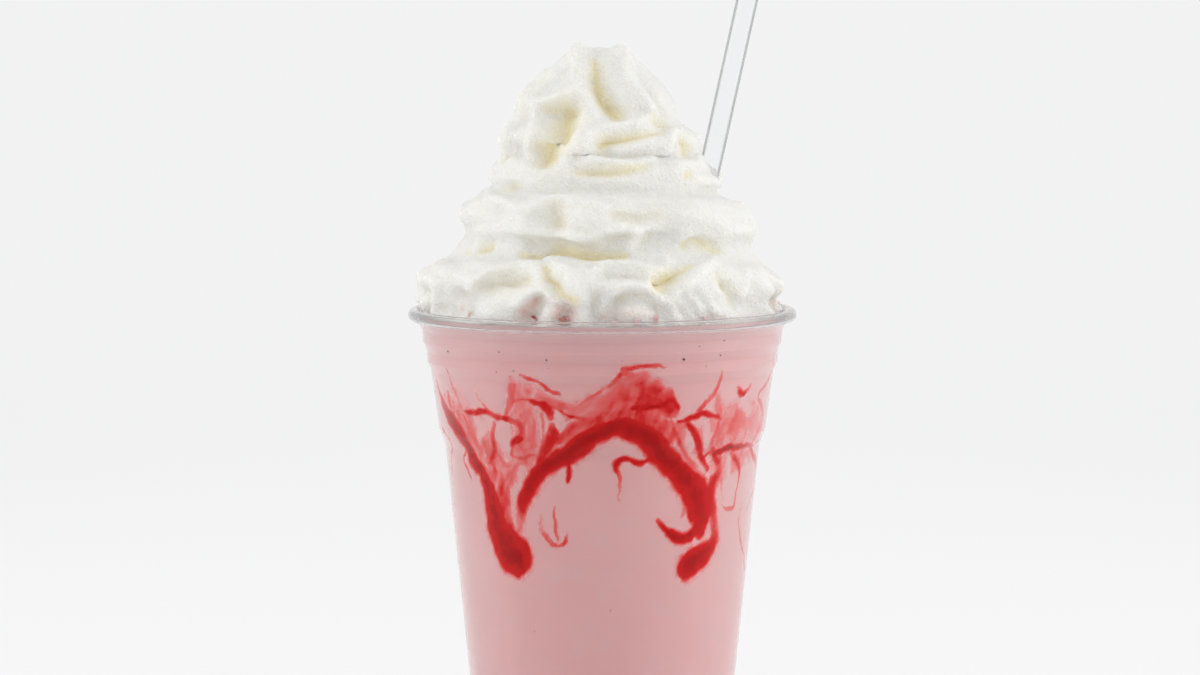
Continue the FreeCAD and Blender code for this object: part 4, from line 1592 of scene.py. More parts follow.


# A fold's second number is the share of painted warm shade in its crease.
FRONT_FOLDS = (
    # crown
    Fold(((-2.5, 199.5, 4.5, -0.8), (-1, 194, 5, -1.6), (2, 188, 4, -1.4))),
    Fold(((-2, 200, 1.4, -1.2), (-1.5, 195.5, 1.8, -2.4), (0, 192, 2, -2.8), (2, 188.5, 2.1, -3),
          (4, 186, 1.8, -2)), 0.9),
    Fold(((-11, 196, 4, -0.8), (-14.5, 192, 4, -0.8))),
    Fold(((-6, 202.5, 1.8, 1), (-6.5, 197.5, 1.8, 1.4), (-6.5, 192.5, 1.7, 1.2))),
    Fold(((-6.5, 191.5, 1.4, 1.2), (-9.5, 190, 1.5, 2), (-14.5, 189, 1.7, 2.2),
          (-18.5, 188.5, 1.8, 1.2))),
    Fold(((-9.5, 186, 3.2, -2.4), (-10, 183, 3.8, -3.4), (-12, 179.5, 3.6, -3.8),
          (-14.5, 176, 2.8, -3)), 0.85),
    Fold(((-14, 187, 1.3, -1.6), (-10.5, 187, 1.4, -2.2), (-6.5, 186.5, 1.3, -1.6)), 0.5),
    Fold(((-16.5, 186.5, 1.8, 1), (-17, 182, 1.9, 1.6), (-19, 177, 1.9, 1.4))),
    Fold(((-3, 184.5, 2.4, 1), (-5.5, 182, 2.4, 1.6), (-7, 178.5, 2.3, 1.6), (-9.5, 175, 2.2, 1.2))),
    Fold(((3.5, 202.5, 1.5, 1), (5.5, 199.5, 1.5, 1.2), (6, 195.5, 1.5, 1.5), (8.5, 192, 1.6, 1.8),
          (11, 188.5, 1.7, 2), (12.5, 186, 1.7, 1.8), (10, 184, 1.6, 1.6), (5.5, 183.5, 1.6, 1.6),
          (0.5, 182.5, 1.6, 1.6), (-2.5, 180.5, 1.6, 1.6), (-4, 177.5, 1.6, 1.7), (-2.5, 175, 1.5, 1.7),
          (2, 174, 1.5, 1.6), (9.5, 174.5, 1.5, 1.4), (15.5, 177, 1.5, 1))),
    Fold(((15, 182, 1, -0.8), (10, 181.2, 1.2, -1.6), (5.5, 180.5, 1.4, -2.2), (1.5, 179.5, 1.7, -2.8),
          (0, 178, 1.5, -2.4)), 0.9),
    Fold(((3.5, 177, 1.3, 0.8), (7.5, 178, 1.5, 1.2), (14, 179, 1.6, 1))),
    Fold(((-6, 172, 1.1, -0.8), (-4, 172, 1.2, -1.4), (0.5, 172, 1.2, -1.8), (6, 172.5, 1.2, -1.6),
          (11, 173.5, 1.1, -0.8)), 0.6),
    Fold(((9.5, 196, 1.8, -0.8), (12.5, 191.5, 2, -1.4), (15, 187.5, 2, -1.2))),
    Fold(((13, 184.5, 2, -1.2), (16, 184, 2, -1.4)), 0.4),
    Fold(((18, 182.5, 1.6, 1.4), (16.5, 179, 1.8, 1.6), (15, 176, 1.7, 1.2))),
    Fold(((24.5, 179.5, 2, 1.4), (25, 176.5, 2, 1.6), (22.5, 174, 2, 1.2), (18, 173.5, 1.8, 0.8))),
    Fold(((21, 179, 2.2, -1.8), (21.5, 176.5, 2.2, -1.6)), 0.7),
    Fold(((-25, 177.5, 2.2, 1.4), (-22.5, 180, 2, 1.4), (-20, 181.5, 2, 1))),
    Fold(((-22, 177.5, 2, -1.2), (-19, 177, 2, -1.2))),
    Fold(((-6, 201.5, 3, 1.5),)),
    Fold(((4.5, 201, 3.2, 1.5),)),
    Fold(((-1, 203, 2.2, -2.4),)),
    # third band
    Fold(((-25, 167.5, 0.9, -0.8), (-22.5, 168, 1, -1.2), (-20.5, 168, 0.8, -0.6)), 0.5),
    Fold(((21, 171, 0.9, -1.2), (22.5, 171, 0.9, -1.2)), 1),
    # second band
    Fold(((-33, 162, 1.5, 0.8), (-30, 164, 1.6, 1.2), (-26, 165, 1.7, 1.4), (-23, 164, 1.5, 1.2),
          (-20, 163, 1.3, 0.8), (-17, 163.5, 1.5, 1), (-13.5, 165, 1.6, 1.4), (-9.5, 165.5, 1.5, 1.2),
          (-5.5, 164.5, 1.3, 0.8), (-0.5, 164, 1.3, 0.6))),
    Fold(((-11.5, 163.5, 2.4, -1.4), (-11, 160, 2.4, -1.6)), 0.3),
    Fold(((4, 162.5, 2.8, -1.2), (8, 162, 3, -1.5), (12.5, 162.5, 2.8, -1.2)), 0.2),
    Fold(((-4, 162.5, 2.8, 0.9), (-3.5, 160, 2.6, 0.9))),
    Fold(((-19, 160.5, 3, 0.9),)),
    Fold(((21, 162.5, 4, 1), (27, 161.5, 4, 1.2))),
    Fold(((-31.5, 156.5, 1.3, 0.8), (-25, 157.5, 1.4, 1.2), (-17.5, 157.5, 1.4, 1.2),
          (-10, 156.5, 1.4, 1.1), (-3, 156.5, 1.4, 1.2), (1, 158, 1.4, 1.5), (4.5, 158.5, 1.4, 1.6),
          (7.5, 158, 1.3, 1.6), (8.5, 156, 1.2, 1.2), (6.5, 155, 1.2, 0.8))),
    Fold(((-18, 155, 1.4, -0.9), (-13.5, 154.5, 1.5, -1.2), (-9.5, 155, 1.4, -0.9))),
    Fold(((9, 155.5, 2, -1.2), (12.5, 156, 2.2, -1.5), (16.5, 156.5, 2, -1.2))),
    Fold(((2, 155.5, 1.4, -0.8), (5, 156.5, 1.4, -1))),
    Fold(((-20, 152.5, 1, -1.2), (-15, 153, 1.2, -2.4), (-10, 154, 1.2, -2.4), (-4, 153, 1.3, -2.6),
          (1, 153, 1.1, -2), (5.5, 152.5, 1, -1)), 1),
    Fold(((19.5, 154, 0.8, -1.2), (23, 154.5, 1.1, -2.2), (27, 153.5, 1, -2),
          (30.5, 152.5, 0.8, -1)), 0.7),
    # ruffle
    Fold(((-34.5, 152.5, 0.9, -1.8), (-33.5, 152.5, 0.9, -1.8)), 1),
    Fold(((-30.5, 153.5, 1.3, -2.2), (-28, 154, 1.3, -2.2)), 1),
    Fold(((-28.5, 144.5, 2.8, -2.2), (-24, 146, 3.2, -3), (-19.5, 147, 2.8, -2.4)), 0.25),
    Fold(((-32.5, 144, 1.5, 1), (-30, 146.5, 1.6, 1.4), (-26.5, 148.5, 1.6, 1.5), (-22.5, 150, 1.6, 1.4),
          (-18.5, 150.5, 1.6, 1.2), (-15.5, 149, 1.5, 0.8))),
    Fold(((-14, 150.5, 1.2, -1.2), (-13, 148, 1.4, -2.8), (-11.5, 146, 1.3, -2.8),
          (-9.5, 143.5, 1.2, -1.6), (-6.5, 142, 1.2, -0.8)), 0.8),
    Fold(((-13, 152, 1.3, 0.8), (-10.5, 150.5, 1.4, 1.2), (-8.5, 148, 1.5, 1.4), (-7, 145.5, 1.6, 1.4),
          (-5.5, 142.5, 1.6, 1))),
    Fold(((-6, 148, 2.6, 0.8), (-7, 144, 2.6, 1.2), (-7.5, 140, 2.4, 1))),
    Fold(((1, 148.5, 2.4, -1.4), (5.5, 148, 2.6, -1.8), (9, 147.5, 2.2, -1.5))),
    Fold(((-3, 145.5, 1.3, 1), (-2.5, 148, 1.4, 1.3), (-0.5, 150.5, 1.3, 1.2), (4, 151.5, 1.2, 0.8),
          (9, 151, 1.2, 0.9), (11.5, 149, 1.3, 1.2), (11.5, 147, 1.3, 1.3), (10.5, 145, 1.3, 1.4),
          (6.5, 145.5, 1.3, 1.2), (2.5, 146, 1.3, 1.1), (-1.5, 145, 1.3, 0.9))),
    Fold(((14, 146, 2.4, -3.6), (15.5, 147.5, 2.2, -3.6), (18, 149, 1.7, -2.4),
          (21, 150.5, 1.3, -1.4)), 1),
    Fold(((15.5, 151, 1.6, 1.2),)),
    Fold(((27, 151, 1.5, 1), (24, 148.5, 1.8, 1.8), (20.5, 146, 1.9, 2), (17.5, 144, 1.7, 1.4))),
    Fold(((29, 148, 2.2, -1.8), (31, 145, 2.4, -2.8), (32.5, 141.5, 2, -2.6)), 0.3),
    Fold(((35.5, 148, 1.4, 1), (35.5, 144.5, 1.5, 1.4), (34, 140, 1.4, 1.2))),
    Fold(((39, 146, 3, 1), (41.5, 142.5, 3, 1))),
    Fold(((-42.5, 146.5, 3, 0.9), (-37, 148.5, 3, 1.2))),
    # skirt
    Fold(((-35, 141.5, 2.2, -1.4), (-33, 138, 2, -1.8))),
    Fold(((-27, 138.5, 3.5, 1), (-22, 139.5, 3.2, 1))),
    Fold(((-15, 142.5, 1.6, -1.4), (-16.5, 139.5, 1.9, -1.9), (-18, 136.5, 1.9, -2))),
    Fold(((-20.5, 140, 1.3, 0.9), (-18.5, 142.5, 1.4, 1.4), (-15.5, 144, 1.5, 1.6),
          (-12.5, 143.5, 1.4, 1.5), (-11, 141.5, 1.4, 1.2), (-10.5, 138.5, 1.3, 0.8))),
    Fold(((-8.5, 139.5, 1.7, -2.2), (-9, 136.5, 1.9, -2.8))),
    Fold(((-4, 142, 2, 0.9), (-4.5, 137.5, 2, 1))),
    Fold(((-2, 141.5, 1.1, -1), (-1, 137.5, 1.1, -1))),
    Fold(((-0.5, 139, 1.3, 1.2), (1, 142.5, 1.4, 1.6), (3.5, 144.5, 1.4, 1.8), (7.5, 145.5, 1.4, 1.8),
          (11.5, 144.5, 1.4, 1.8), (14, 142.5, 1.4, 1.6), (16.5, 139.5, 1.3, 1.4),
          (18.5, 136.5, 1.3, 1))),
    Fold(((2.5, 140, 1.1, -0.9), (3.5, 142, 1.1, -1.3), (7, 143, 1.1, -1.5), (10.5, 142.5, 1.1, -1.4),
          (12.5, 140.5, 1.1, -1.2), (15, 137.5, 1.1, -0.9))),
    Fold(((7.5, 139, 3.4, 1.4),)),
    Fold(((16.5, 143.5, 1, 0.9), (19, 140.5, 1.1, 1.2), (21.5, 137, 1.1, 1))),
    Fold(((19.5, 144, 1, 0.9), (22, 141, 1.1, 1.2), (24, 137.5, 1.1, 1))),
    Fold(((22.5, 144.5, 1, 0.9), (25.5, 141.5, 1.1, 1.2), (27.5, 138, 1.1, 1))),
)

# Places where crushed berry has coloured the foot of the cream; the shade_and_stain share says how
# strongly.
JUICE_SPOTS = (
    Fold(((-15.5, 141.5, 0.9, 0), (-17, 139.8, 1.4, 0), (-17.8, 138.4, 1.6, 0)), 0.7),
    Fold(((-10.5, 138.8, 1.7, 0), (-7.5, 138.6, 1.7, 0)), 0.6),
    Fold(((1, 137.8, 1.5, 0), (8, 139, 1.6, 0), (13, 138, 1.2, 0)), 0.22),
    Fold(((-34.5, 138.8, 1.2, 0),), 0.35),
    Fold(((10.5, 138.5, 0.8, 0),), 0.3),
    Fold(((-6, 138.5, 1.6, 0), (4, 139.5, 1.4, 0)), 0.5, 100.0),
    Fold(((2, 138.5, 1.5, 0),), 0.6, 155.0),
    Fold(((-8, 138.5, 1.4, 0), (-3, 138, 1.2, 0)), 0.55, 215.0),
    Fold(((0, 139, 1.3, 0),), 0.5, 270.0),
)


@dataclass
class Cream:
    """Piped swirl: a fluted rope wound in a helix, a folded crown, ridges, hollows and foam grain.

    Rounds say how often a vertex value is averaged over its neighbours. Lumps, foam and the
    juice's patches are noises of (strength, size of one lump, seed, layers). The ruffle, core and
    band spans are heights above the drink, and hollow_span is the depth of marked hollows.
    """

    level: float
    climb_behind: float = 0.85
    start_turn: float = 0.25
    path_points: int = 1100
    flutes: int = 9
    flute_depth: float = 0.14
    twist: float = 26.0
    wander: float = 2.4
    wander_size: float = 14.0
    ruffles: int = 13
    ruffle_out: float = 0.8
    ruffle_up: float = 0.6
    ruffle_span: Span = (4.0, 20.0)
    core_rings: int = 90
    core_segments: int = 120
    core_shift: float = -1.0
    core_span: Span = (20.0, 50.0)
    voxel: float = 0.6
    relax_rounds: int = 6
    fold_seed: int = 14
    fold_gap: Span = (11.0, 19.0)
    fold_end: float = 20.0
    front_share: float = 0.42
    groove_facings: tuple[float, ...] = (112.0, 160.0, 205.0, 250.0, 285.0)
    gain: float = 1.35
    band_gain: float = 0.4
    band_foot: Span = (15.0, 20.0)
    band_top: Span = (34.0, 38.0)
    normal_rounds: int = 6
    calm_rounds: int = 3
    cleft_rounds: int = 8
    cleft_from: float = 0.3
    cleft_fill: float = 1.2
    hollow_rounds: int = 12
    hollow_span: Span = (0.1, 0.8)
    # Share of painted warm shade in the deepest hollows.
    hollow_shade_share: float = 0.3
    lumps: tuple[Noise, ...] = ((0.3, 7.0, 5, 3), (0.12, 3.0, 6, 3))
    foam: Noise = (0.11, 1.1, 7, 2)
    juice_patches: Noise = (0.5, 1.6, 23, 3)
    sunk_foot: float = 0.6

    def rope_path(self) -> tuple[Array, Array]:
        """Centre line of the rope and its radius at each point."""
        stations = np.array([[t.wound, t.height, t.outer, t.rope, t.shift] for t in ROPE_TURNS])
        angle = np.linspace(1.5 * math.pi, -11.0 * math.pi, self.path_points)
        wound = self.start_turn - (angle - self.climb_behind * np.cos(angle)) / (2 * math.pi)
        inside = (wound >= stations[0, 0]) & (wound <= stations[-1, 0])
        angle, wound = angle[inside], wound[inside]
        height, outer, rope, shift = smooth_line(stations, wound).T
        low = 1 - ease(height, *self.ruffle_span)
        outer = outer + low * self.ruffle_out * np.sin(self.ruffles * angle)
        height = height + low * self.ruffle_up * np.cos(self.ruffles * angle)
        centre = outer - rope
        x, y = centre * np.cos(angle) + shift, centre * np.sin(angle)
        return np.column_stack([x, y, self.level + height]), rope

    def piping_tree(self) -> NodeTree:
        """Geometry Nodes tree that pipes a fluted rope along lines of edges."""
        fluting = {"Flutes": 9, "Flute Depth": 0.15, "Twist": 10.0, "Around": 96}
        wandering = {"Wander": 0.001, "Wander Size": 0.01, "Seed": 3.0}
        tree, entry, leave = start_geometry("piping", {**fluting, **wandering})
        line = tree.out("GeometryNodeMeshToCurve", {"Mesh": entry["Geometry"]})
        size, push, seed = (entry[name] for name in ("Wander Size", "Wander", "Seed"))
        moved = push_points(tree, line, size, push, seed)
        share = tree.add("GeometryNodeSplineParameter").outputs["Factor"]
        tilt = tree.math("MULTIPLY", share, entry["Twist"])
        tilted = tree.out("GeometryNodeSetCurveTilt", {"Curve": moved, "Tilt": tilt})
        circle = {"Resolution": entry["Around"], "Radius": 1.0}
        ring = tree.out("GeometryNodeCurvePrimitiveCircle", circle)
        turn = tree.math("MULTIPLY", tree.math("MULTIPLY", share, math.pi), entry["Flutes"])
        wave = tree.math("ABSOLUTE", tree.math("SINE", turn))
        lobe = tree.math("SUBTRACT", 1.0, tree.math("POWER", wave, 0.7))
        scale = tree.math("SUBTRACT", 1.0, tree.math("MULTIPLY", lobe, entry["Flute Depth"]))
        place = tree.out("GeometryNodeInputPosition")
        spread = tree.vector("SCALE", {0: place, "Scale": scale})
        star = tree.out("GeometryNodeSetPosition", {"Geometry": ring, "Position": spread})
        thickness = tree.out("GeometryNodeInputNamedAttribute", {"Name": "thickness"})
        piping = {"Curve": tilted, "Profile Curve": star, "Scale": thickness, "Fill Caps": True}
        rope = tree.out("GeometryNodeCurveToMesh", piping)
        real = tree.out("GeometryNodeRealizeInstances", {"Geometry": rope})
        return end_geometry(tree, real, entry, leave)

    def core(self) -> Piece:
        """Filling under the rope's turns and the crown above them."""
        profile = np.array(CORE_PROFILE)
        heights = np.linspace(profile[0, 0], profile[-2, 0], self.core_rings)
        rings = np.column_stack([smooth_line(profile, heights)[:, 0], heights])
        section = np.vstack([[(0, profile[0, 0])], rings, [(0, profile[-1, 0])]])
        section[:, 1] += self.level
        vertices, faces = turn_section(section, self.core_segments)
        vertices[:, 0] += self.core_shift * ease(vertices[:, 2] - self.level, *self.core_span)
        return make_object("cream_core", vertices, faces)

    def build(self, finish: WhippedFinish) -> Piece:
        """Makes the cream.

        Args:
            finish: The cream's finish.

        Returns:
            The cream.
        """
        material = finish.make()
        path, radii = self.rope_path()
        cream = make_line("whipped_swirl", path)
        add_attribute(cream, "thickness", radii * MM)
        values = {
            "Flutes": self.flutes,
            "Flute Depth": self.flute_depth,
            "Twist": self.twist,
            "Wander": self.wander * MM,
            "Wander Size": self.wander_size * MM,
            "Material": material,
        }
        run_tree(cream, self.piping_tree(), values)
        merge([cream, self.core()])
        self.blend_turns(cream)
        shade_and_stain = self.press_folds(cream)
        self.roughen(cream)
        self.mark(cream, shade_and_stain)
        cream.data.materials.clear()
        cream.data.materials.append(material)
        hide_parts("whipped_cream")
        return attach(cream, "root")

    def blend_turns(self, cream: Piece) -> None:
        """Fuses the turns and the core into one skin."""
        remesh = cream.modifiers.new("fuse", "REMESH")
        remesh.mode = "VOXEL"
        remesh.voxel_size = self.voxel * MM
        remesh.use_smooth_shade = True
        relax = cream.modifiers.new("relax", "SMOOTH")
        relax.factor = 0.5
        relax.iterations = self.relax_rounds
        apply_modifiers(cream)

    def press(self, vertices: Array, fold: Fold) -> tuple[Array, Array]:
        """Height that a fold adds to each vertex.

        Args:
            vertices: Positions on the cream.
            fold: The fold.

        Returns:
            The rise, and the fold's painted crease shade (on a juice spot, its stain) at each vertex.
        """
        side = math.radians(fold.facing)
        across = vertices[:, 0] * math.cos(side) + vertices[:, 1] * math.sin(side)
        outward = vertices[:, 0] * math.sin(side) - vertices[:, 1] * math.cos(side)
        stations = smooth_route(np.array(fold.stations, dtype=float), 4)
        reach = 2.3 * stations[:, 2].max()
        low, high = stations[:, :2].min(axis=0) - reach, stations[:, :2].max(axis=0) + reach
        shown = np.column_stack([across, vertices[:, 2]])
        near = np.flatnonzero(np.all((shown > low) & (shown < high), axis=1) & (outward > 0))
        rise, shade_and_stain = np.zeros(len(vertices)), np.zeros(len(vertices))
        if len(near) == 0:
            return rise, shade_and_stain
        place = np.column_stack([shown[near], outward[near]])
        route = []
        for station in stations:
            apart = np.linalg.norm(place[:, :2] - station[:2], axis=1)
            close = apart < max(1.0, apart.min() + 0.3)
            route.append([station[0], station[1], place[close, 2].max()])
        route = np.array(route)
        distance, share = distance_to_route(place, route)
        done = shares(route)
        width = np.interp(share, done, stations[:, 2])
        height = np.interp(share, done, stations[:, 3])
        profile = np.exp(-((distance / width) ** 2))
        rise[near] = height * profile
        shade_and_stain[near] = fold.shade_and_stain * profile
        return rise, shade_and_stain

    def side_folds(self) -> list[Fold]:
        """Creases and ridges round the sides and the back, laid across the rope's turns."""
        random = np.random.default_rng(self.fold_seed)
        path, rope = self.rope_path()
        angle = np.degrees(np.unwrap(np.arctan2(path[:, 1], path[:, 0])))
        folds = []
        at = angle[0]
        while at > angle[-1] + self.fold_end:
            at -= random.uniform(*self.fold_gap)
            facing = at + 90.0
            if math.cos(math.radians(facing)) <= self.front_share:
                spot = int(np.argmin(np.abs(angle - at)))
                folds += self.rope_folds(random, path, rope[spot], spot, facing)
        for facing in self.groove_facings:
            folds += self.crown_folds(random, facing)
        return folds

    def rope_folds(
        self, random: np.random.Generator, path: Array, half: float, spot: int, facing: float
    ) -> list[Fold]:
        """Crease across the rope at one place, a ridge beside it and one along the rope.

        Args:
            random: Source of the draws.
            path: The rope's centre line.
            half: The rope's radius at the place.
            spot: Number of the place on the line.
            facing: Side that the folds lie on, in degrees.

        Returns:
            The three folds.
        """
        z = path[spot, 2]
        low = 1 - ease(z - self.level, 12.0, 26.0)
        slant = random.uniform(1.5, 5.0) * random.choice([-1.0, 1.0])
        deep = -(0.55 + 1.0 * low) * random.uniform(0.6, 1.3)
        wide = random.uniform(1.2, 2.2)
        crease = (
            (-slant, z - 0.7 * half, wide, 0.7 * deep),
            (0.4 * slant, z, 1.1 * wide, deep),
            (slant, z + 0.75 * half, 0.9 * wide, 0.8 * deep),
        )
        # Painted warm shade, stronger in the lower creases.
        shade_and_stain = 0.35 * low * random.uniform(0.0, 1.0)
        beside = random.uniform(3.0, 4.2)
        ridge = (
            (beside - slant, z - 0.6 * half, 1.4, -0.5 * deep),
            (beside, z, 1.6, -0.8 * deep),
            (beside - 0.6 * slant, z + 0.8 * half, 1.4, -0.6 * deep),
        )
        side, reach = math.radians(facing), 18
        lift = half * random.uniform(-0.45, 0.45)
        whole = reach <= spot < len(path) - reach
        along = path[[spot - reach, spot, spot + reach]] if whole else path[[spot]]
        rise = random.uniform(0.5, 1.3) * random.choice([-1.0, 1.0, 1.0])
        swell = tuple(
            (x * math.cos(side) + y * math.sin(side), height + lift, 1.6, rise * share)
            for (x, y, height), share in zip(along, (0.5, 1.0, 0.5))
        )
        return [Fold(crease, shade_and_stain, facing), Fold(ridge, 0.0, facing), Fold(swell, 0.0, facing)]

    def crown_folds(self, random: np.random.Generator, facing: float) -> list[Fold]:
        """Deep crease down the crown on one facing side, and the ridge beside it."""
        sway = random.uniform(-3.0, 3.0)
        top, foot = random.uniform(192.0, 198.0), random.uniform(176.0, 183.0)
        middle, beside = (top + foot) / 2, 4.0
        crease = ((0.3 * sway, top, 1.8, -1.4), (-sway, middle, 2.2, -2.6), (sway, foot, 2.0, -1.8))
        ridge = (
            (beside + 0.3 * sway, top - 1.0, 1.6, 1.0),
            (beside - sway, middle, 1.8, 1.8),
            (beside + sway, foot, 1.8, 1.2),
        )
        # The crease gets painted warm shade.
        return [Fold(crease, 0.6, facing), Fold(ridge, 0.0, facing)]

    def press_folds(self, cream: Piece) -> Array:
        """Presses every fold into the cream and gives the painted crease shade of each vertex."""
        vertices, normals = mesh_arrays(cream)
        normals = neighbour_mean(cream, normals, self.normal_rounds)
        normals /= np.linalg.norm(normals, axis=1)[:, None]
        total, warm = np.zeros(len(vertices)), np.zeros(len(vertices))
        for fold in [*FRONT_FOLDS, *self.side_folds()]:
            rise, shade_and_stain = self.press(vertices, fold)
            total += rise
            warm = np.maximum(warm, shade_and_stain)
        risen = vertices[:, 2] - self.level
        band = ease(risen, *self.band_foot) * (1 - ease(risen, *self.band_top))
        vertices = vertices + normals * ((self.gain + self.band_gain * band) * total)[:, None]
        place_vertices(cream, neighbour_mean(cream, vertices, self.calm_rounds))
        return warm

    def roughen(self, cream: Piece) -> None:
        """Fills the sharpest clefts, adds lumps and foam and sets the foot into the drink."""
        vertices, normals = mesh_arrays(cream)
        deep = sunk_depth(cream, vertices, normals, self.cleft_rounds) - self.cleft_from
        filling = self.cleft_fill * neighbour_mean(cream, np.maximum(deep, 0.0)[:, None], 2)
        vertices = neighbour_mean(cream, vertices + normals * filling, 1)
        lumps = sum(height * layered_noise(vertices, *noise) for height, *noise in self.lumps)
        foam = self.foam[0] * layered_noise(vertices, *self.foam[1:])
        vertices = vertices + normals * (lumps + foam)[:, None]
        vertices[:, 2] = np.maximum(vertices[:, 2], self.level - self.sunk_foot)
        place_vertices(cream, vertices)

    def mark(self, cream: Piece, shade_and_stain: Array) -> None:
        """Stores the painted warm shade of the hollows and creases, and where juice has coloured it."""
        vertices, normals = mesh_arrays(cream)
        # Painted warm shade, deeper where a vertex lies further under its surroundings.
        sunk = sunk_depth(cream, vertices, normals, self.hollow_rounds)
        hollow_shade = ease(neighbour_mean(cream, sunk[:, None], 2)[:, 0], *self.hollow_span)
        add_attribute(cream, "hollow_shade", np.clip(self.hollow_shade_share * hollow_shade + shade_and_stain, 0.0, 1.0))
        juice = np.max([self.press(vertices, spot)[1] for spot in JUICE_SPOTS], axis=0)
        patchy = 0.7 + self.juice_patches[0] * layered_noise(vertices, *self.juice_patches[1:])
        add_attribute(cream, "juice", np.clip(juice * patchy, 0.0, 1.0))


def sunk_depth(piece: Piece, vertices: Array, normals: Array, rounds: int) -> Array:
    """How far each vertex lies under the mean of its surroundings."""
    return np.einsum("ij,ij->i", neighbour_mean(piece, vertices, rounds) - vertices, normals)


def merge(pieces: list[Piece]) -> None:
    """Joins pieces into the first one."""
    shape = bmesh.new()
    for piece in pieces:
        shape.from_mesh(piece.data)
    shape.to_mesh(pieces[0].data)
    shape.free()
    for piece in pieces[1:]:
        bpy.data.objects.remove(piece)


# ---- studio


SURROUNDINGS = (0.89, 0.89, 0.895, 1.0)


@dataclass(frozen=True)
class SoftBox:
    """Rectangular lamp: place and size in metres, power in watts, and whether walls mirror it."""

    name: str
    place: Point
    size: Span
    power: float
    mirrored: bool = False
    aim: Point = (0.0, 0.0, 0.12)

    def build(self) -> None:
        """Hangs the lamp so that it points at the cup."""
        data = bpy.data.lights.new(self.name, "AREA")
        data.shape = "RECTANGLE"
        data.size, data.size_y = self.size
        data.energy = self.power
        lamp = bpy.data.objects.new(self.name, data)
        lamp.location = self.place
        down = Vector(self.aim) - Vector(self.place)
        lamp.rotation_euler = down.to_track_quat("-Z", "Y").to_euler()
        lamp.visible_glossy = self.mirrored
        lamp.visible_transmission = False
        bpy.context.scene.collection.objects.link(lamp)


SOFT_BOXES = (
    SoftBox("left_box", (-0.75, -0.1, 0.42), (0.5, 0.9), 2.9, mirrored=True),
    SoftBox("right_box", (0.75, -0.1, 0.42), (0.5, 0.9), 3.2, mirrored=True),
    SoftBox("top_box", (0.0, -0.25, 0.95), (0.6, 0.6), 0.9),
    SoftBox("front_box", (0.0, -1.25, 0.2), (0.6, 0.6), 2.8),
    SoftBox("back_box", (0.0, 1.2, 0.5), (0.6, 0.6), 1.6),
)


def seen_rays(tree: Tree) -> Socket:
    """Mask of the rays that show the pale surroundings: seen, mirrored and refracted ones."""
    path = tree.add("ShaderNodeLightPath")
    clear = tree.math("MAXIMUM", path.outputs["Is Glossy Ray"], path.outputs["Is Transmission Ray"])
    first = tree.math("LESS_THAN", path.outputs["Diffuse Depth"], 0.5)
    return tree.math("MAXIMUM", path.outputs["Is Camera Ray"], tree.math("MULTIPLY", clear, first))


@dataclass(frozen=True)
class StudioPaper(Finish):
    """Pale paper that turns as pale as the surroundings far from the cup."""

    name: str = "studio_paper"
    near: Color = (0.945, 0.945, 0.95, 1.0)
    lit: Color = (0.9, 0.9, 0.9, 1.0)

    def shader(self, tree: Tree) -> Socket:
        """Matt paper that glows evenly where it is seen."""
        place = tree.add("ShaderNodeTexCoord").outputs["Object"]
        away = tree.add("ShaderNodeVectorMath", {0: place}, operation="LENGTH").outputs["Value"]
        color = tree.mix(tree.span(away, 0.2, 1.1), self.near, SURROUNDINGS)
        paper = tree.body({"Base Color": self.lit, "Roughness": 0.9})
        glow = tree.out("ShaderNodeEmission", {"Color": color, "Strength": 1.0})
        share = tree.math("MULTIPLY", seen_rays(tree), tree.span(away, 0.25, 1.5, 0.8, 1.0))
        return tree.blend(share, paper, glow)


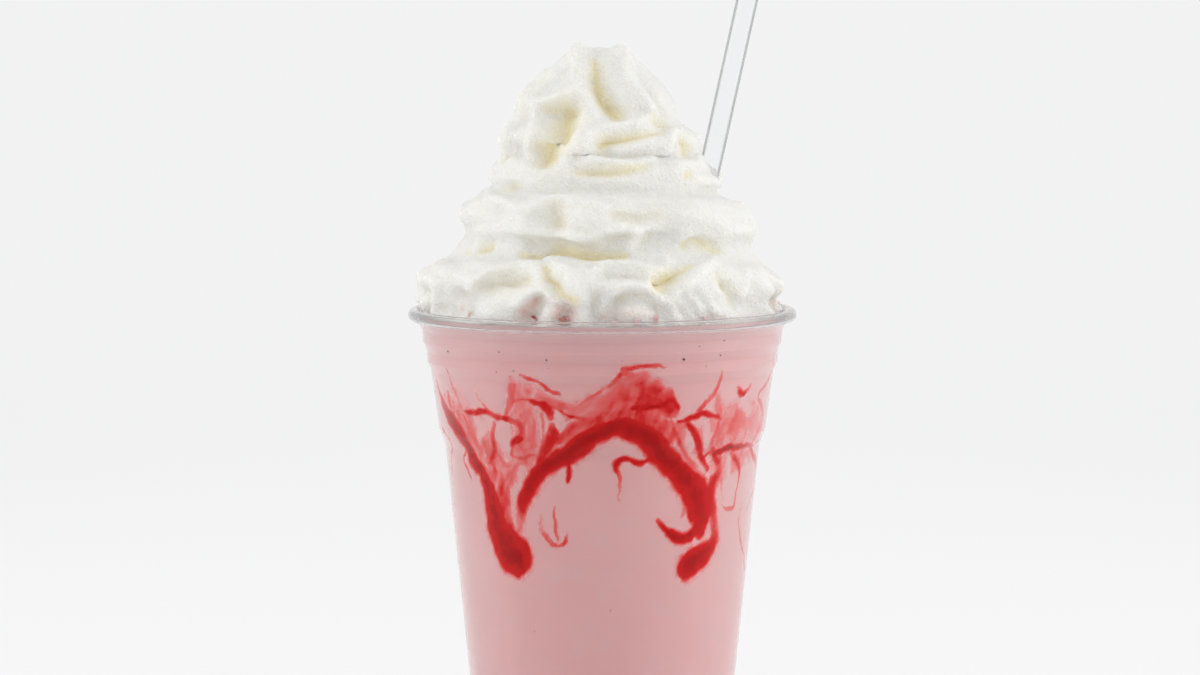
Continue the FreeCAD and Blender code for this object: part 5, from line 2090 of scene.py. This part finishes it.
@dataclass
class Studio:
    """Wide pale floor, even surroundings, soft lamps and the camera; sizes in metres."""

    eye_distance: float = 0.72
    eye_height: float = 0.191
    eye_side: float = -0.0006
    pitch: float = 4.9
    lens: float = 85.74
    sensor_width: float = 36.0
    floor_half: float = 6.0
    world_light: float = 0.58

    def build(self) -> None:
        """Places everything."""
        self.camera()
        self.world()
        self.floor()
        for box in SOFT_BOXES:
            box.build()

    def camera(self) -> None:
        """Camera in front of the cup, level with the cream and looking slightly down."""
        data = bpy.data.cameras.new("camera")
        data.lens = self.lens
        data.sensor_width = self.sensor_width
        camera = bpy.data.objects.new("camera", data)
        camera.location = (self.eye_side, -self.eye_distance, self.eye_height)
        camera.rotation_euler = (math.radians(90.0 - self.pitch), 0.0, 0.0)
        scene = bpy.context.scene
        scene.collection.objects.link(camera)
        scene.camera = camera
        scene.view_settings.view_transform = "Standard"

    def world(self) -> None:
        """Even light from all round, in the surroundings' own colour where they are seen."""
        world = bpy.data.worlds.new("surroundings")
        world.use_nodes = True
        world.node_tree.nodes.clear()
        tree = Tree(world.node_tree)
        white = {"Color": (1.0, 1.0, 1.0, 1.0), "Strength": self.world_light}
        light = tree.out("ShaderNodeBackground", white)
        pale = tree.out("ShaderNodeBackground", {"Color": SURROUNDINGS, "Strength": 1.0})
        output = tree.add("ShaderNodeOutputWorld")
        tree.join(tree.blend(seen_rays(tree), light, pale), output.inputs["Surface"])
        bpy.context.scene.world = world

    def floor(self) -> None:
        """Wide square of paper under the cup."""
        half = self.floor_half
        corners = [(-half, -half, 0.0), (half, -half, 0.0), (half, half, 0.0), (-half, half, 0.0)]
        floor = make_object("studio_floor", np.array(corners) / MM, [(0, 1, 2, 3)])
        floor.data.materials.append(StudioPaper().make())


# ---- the whole


def main() -> None:
    """Builds every piece around the frame."""
    logging.basicConfig(level=logging.INFO, format="%(message)s")
    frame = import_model()
    log.info("bodies: %s", ", ".join(frame["bodies"]))
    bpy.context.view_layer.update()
    low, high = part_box("cup")
    cup = Cup(rim_diameter=(high.x - low.x) / MM, height=high.z / MM)
    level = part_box("milkshake")[1].z / MM
    syrup = Syrup(cup)
    Studio().build()
    drink = Drink(cup, level).build(MilkyDrink(), syrup)
    cream = Cream(level).build(WhippedFinish())
    built = [
        cup.build(CUP_PLASTIC),
        drink,
        syrup.build(SyrupFinish()),
        cream,
        SPECKS.build(drink, SPECK_SKIN),
        BERRIES.build(cream, BERRY_FLESH),
        Straw().build(STRAW_PLASTIC),
    ]
    for piece in built:
        log.info("%s: %d faces", piece.name, len(piece.data.polygons))


if __name__ == "__main__":
    main()
